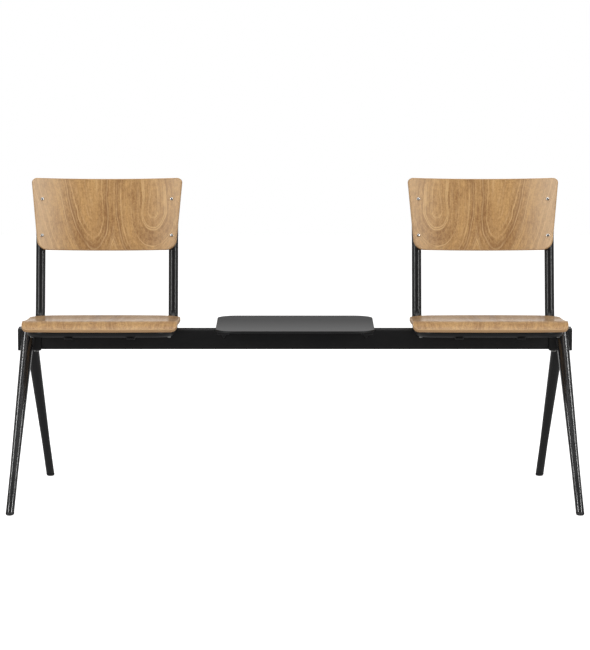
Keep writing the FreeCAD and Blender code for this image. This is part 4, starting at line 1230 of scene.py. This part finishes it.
table = {
    "width": 0.400, "depth": 0.340, "thickness": 0.006, "corner": 0.050, "ease": 0.001, "top": 0.4425,
    "spacing": 0.02,
}
bracket = {"place": 0.181, "width": 0.030, "length": 0.260, "height": 0.008, "ear": 0.022, "earThick": 0.003,
           "beamTop": 0.4285, "ease": 0.0006}
tableScrew = {"radius": 0.004, "height": 0.0022, "shank": 0.0019, "length": 0.0120, "socket": 0.0022,
              "socketDepth": 0.0011, "reach": 0.105}
earScrew = {"radius": 0.00475, "height": 0.0026, "shank": 0.0024, "length": 0.0105, "socket": 0.0026,
            "socketDepth": 0.0013, "drop": 0.008}


def makeTabletop():
    outline = roundedOutline(rectangle(table["width"] / 2, table["depth"] / 2), [table["corner"]] * 4)
    mesh = boardMesh("tabletop", outline, table, lambda x, y, depth: (x, y, table["top"] - depth))
    piece = addObject("tabletopPlate", mesh, finish["laminateBlack"], finish["laminateEdge"])
    settle(piece, "black_laminate", "tabletop")


def makeBracket(word, side):
    # a bar across the beam, with a triangular ear down each face of the beam
    shape = bmesh.new()
    x, half, low = side * bracket["place"], bracket["width"] / 2, bracket["beamTop"]
    bar = [Vector((x + a, b, low)) for a, b in rectangle(half, bracket["length"] / 2)]
    prism(shape, bar, Vector((0, 0, bracket["height"])))
    for endWord, end in ends:
        y = end * beam["side"] / 2
        ear = [Vector((x - half, y, low)), Vector((x, y, low - bracket["ear"])), Vector((x + half, y, low))]
        prism(shape, ear, Vector((0, end * bracket["earThick"], 0)))
    roundEdges(shape, shape.edges[:], bracket["ease"])
    piece = addObject(f"tableBracket_{word}", meshFrom("tableBracket", shape), finish["powderBlack"])
    settle(piece, "powder_coat_black", f"table_bracket_{word}")


def makeTableScrews():
    face, height = beam["side"] / 2 + bracket["earThick"], bracket["beamTop"] - earScrew["drop"]
    under, ears = [], []
    for word, side in sides:
        x = side * bracket["place"]
        for endWord, end in ends:
            under.append((Vector((x, end * tableScrew["reach"], bracket["beamTop"])), Vector((0, 0, -1))))
            ears.append((Vector((x, end * face, height)), Vector((0, end, 0))))
    fixingSet("tableScrews", screwShape(tableScrew), under, finish["zincPlate"], "zinc_plated_steel",
              "table_screws")
    fixingSet("earScrews", screwShape(earScrew), ears, finish["powderBlack"], "zinc_plated_steel",
              "table_bracket_screws")


# Making

seatEdge = makeEdgeFinish("seatPlyEdge", seat["thickness"], seat["layers"])
backEdge = makeEdgeFinish("backrestPlyEdge", back["thickness"], back["layers"])

makeBeam()
makeTabletop()
makeTableScrews()
for word, side in sides:
    for make in (makeSeatFrame, makeFramePlugs, makeSupportArms, makeSeat, makeBackrest, makeRivets,
                 makeSeatScrews, makeSleeve, makeEndCap, makeSleeveBolts, makeRailBeads, makeBracket):
        make(word, side)
    for endWord, end in ends:
        makeLeg(word, side, endWord, end)
    # what stays a CAD solid gets its finish
    for node, material in (("seat_spacers", "plasticBlack"), ("sleeve_nuts", "zincPlate")):
        slots = frame["nodes"][f"{node}_{word}"].data.materials
        slots.clear()
        slots.append(finish[material])
    print(word, "half built")


# Floor, backdrop and lights

stage = {
    # near, far and behind: what glossy pieces mirror of the floor there; the ranges: where these change
    "half": 7.0, "tone": 0.8, "glow": 0.75, "near": 0.25, "far": 0.08, "behind": 0.5,
    "farRange": (0.7, 2.6), "behindRange": (0.5, 2.5),
}
studio = {
    # what glossy pieces mirror of the room: dark in front, and behind a bright line at the floor's end and a
    # soft window over it
    "ambient": 0.5, "front": 0.045, "above": 0.06, "aboveRange": (0.3, 1.0), "behindRange": (0.3, 1.0),
    "skyline": 1.9, "skylineRange": (-0.04, 0.008), "horizon": 0.05, "window": 0.8, "sill": (0.1, 0.24),
    "windowTop": 0.25, "topRange": (0.34, 0.6),
}
lamps = {
    # name: place, aim, width, height, watts
    "softLeft": ((-4.9, -3.7, 1.5), (0, 0, 0.4), 0.7, 3.6, 115),
    "softRight": ((4.9, -3.7, 1.5), (0, 0, 0.4), 0.7, 3.6, 115),
    "highLeft": ((-3.8, -0.7, 2.9), (-0.4, 0, 0.3), 0.35, 2.4, 26),
    "highRight": ((3.8, -0.7, 2.9), (0.4, 0, 0.3), 0.35, 2.4, 26),
    "overhead": ((0, -0.6, 3.8), (0, 0, 0.3), 3.0, 2.4, 42),
}


def emptyTree(owner):
    owner.use_nodes = True
    owner.node_tree.nodes.clear()
    return owner.node_tree, addNode(owner.node_tree, "ShaderNodeLightPath").outputs


def makeFloor():
    mesh = bpy.data.meshes.new("floor")
    mesh.from_pydata([(x, y, 0) for x, y in rectangle(stage["half"], stage["half"])], [], [(0, 1, 2, 3)])
    material = bpy.data.materials.new("paleFloor")
    tree, path = emptyTree(material)
    matt = addNode(tree, "ShaderNodeBsdfDiffuse", {"Color": (*[stage["tone"]] * 3, 1)})
    glow = product(tree, path["Is Camera Ray"], stage["glow"])
    lit = addNode(tree, "ShaderNodeEmission", {"Color": white, "Strength": glow})
    seen = addNode(tree, "ShaderNodeAddShader", {0: matt, 1: lit})
    away = addNode(tree, "ShaderNodeVectorMath", {0: objectPlace(tree)}, operation="LENGTH").outputs["Value"]
    around = spread(tree, away, *stage["farRange"], stage["near"], stage["far"], smooth=True)
    depth = separate(tree, objectPlace(tree))["Y"]
    behind = spread(tree, depth, *stage["behindRange"], 0.0, stage["behind"], smooth=True)
    mirrored = addNode(tree, "ShaderNodeEmission", {"Color": white, "Strength": total(tree, around, behind)})
    mix = addNode(tree, "ShaderNodeMixShader", {0: path["Is Glossy Ray"], 1: seen, 2: mirrored})
    addNode(tree, "ShaderNodeOutputMaterial", {"Surface": mix})
    addObject("floor", mesh, material)


def makeWorld():
    world = bpy.data.worlds.new("studio")
    bpy.context.scene.world = world
    tree, path = emptyTree(world)
    towards = separate(tree, addNode(tree, "ShaderNodeTexCoord").outputs["Generated"])
    behind = spread(tree, towards["Y"], *studio["behindRange"])
    above = spread(tree, towards["Z"], *studio["aboveRange"], 0.0, studio["above"])
    lower = spread(tree, towards["Z"], *studio["sill"], studio["horizon"], studio["window"], smooth=True)
    upper = spread(tree, towards["Z"], *studio["topRange"], 1.0, studio["windowTop"], smooth=True)
    skyline = spread(tree, towards["Z"], *studio["skylineRange"], studio["skyline"], 0.0, smooth=True)
    window = product(tree, maths(tree, "MULTIPLY_ADD", lower, upper, skyline), behind)
    mirrored = total(tree, window, above, studio["front"])
    level = addNode(tree, "ShaderNodeMix", {0: path["Is Glossy Ray"], 2: studio["ambient"], 3: mirrored})
    ambient = addNode(tree, "ShaderNodeBackground", {"Color": white, "Strength": level})
    seen = addNode(tree, "ShaderNodeBackground", {"Color": white, "Strength": 1.0})
    mix = addNode(tree, "ShaderNodeMixShader", {0: path["Is Camera Ray"], 1: ambient, 2: seen})
    addNode(tree, "ShaderNodeOutputWorld", {"Surface": mix})


def makeLamps():
    for name, (spot, aim, width, height, watts) in lamps.items():
        data = bpy.data.lights.new(name, "AREA")
        data.shape = "RECTANGLE"
        data.size, data.size_y = width, height
        data.energy = watts
        lamp = addObject(name, data)
        lamp.location = spot
        lamp.rotation_euler = (Vector(spot) - Vector(aim)).to_track_quat("Z", "Y").to_euler()


makeFloor()
makeWorld()
makeLamps()
print("stage and lights set")
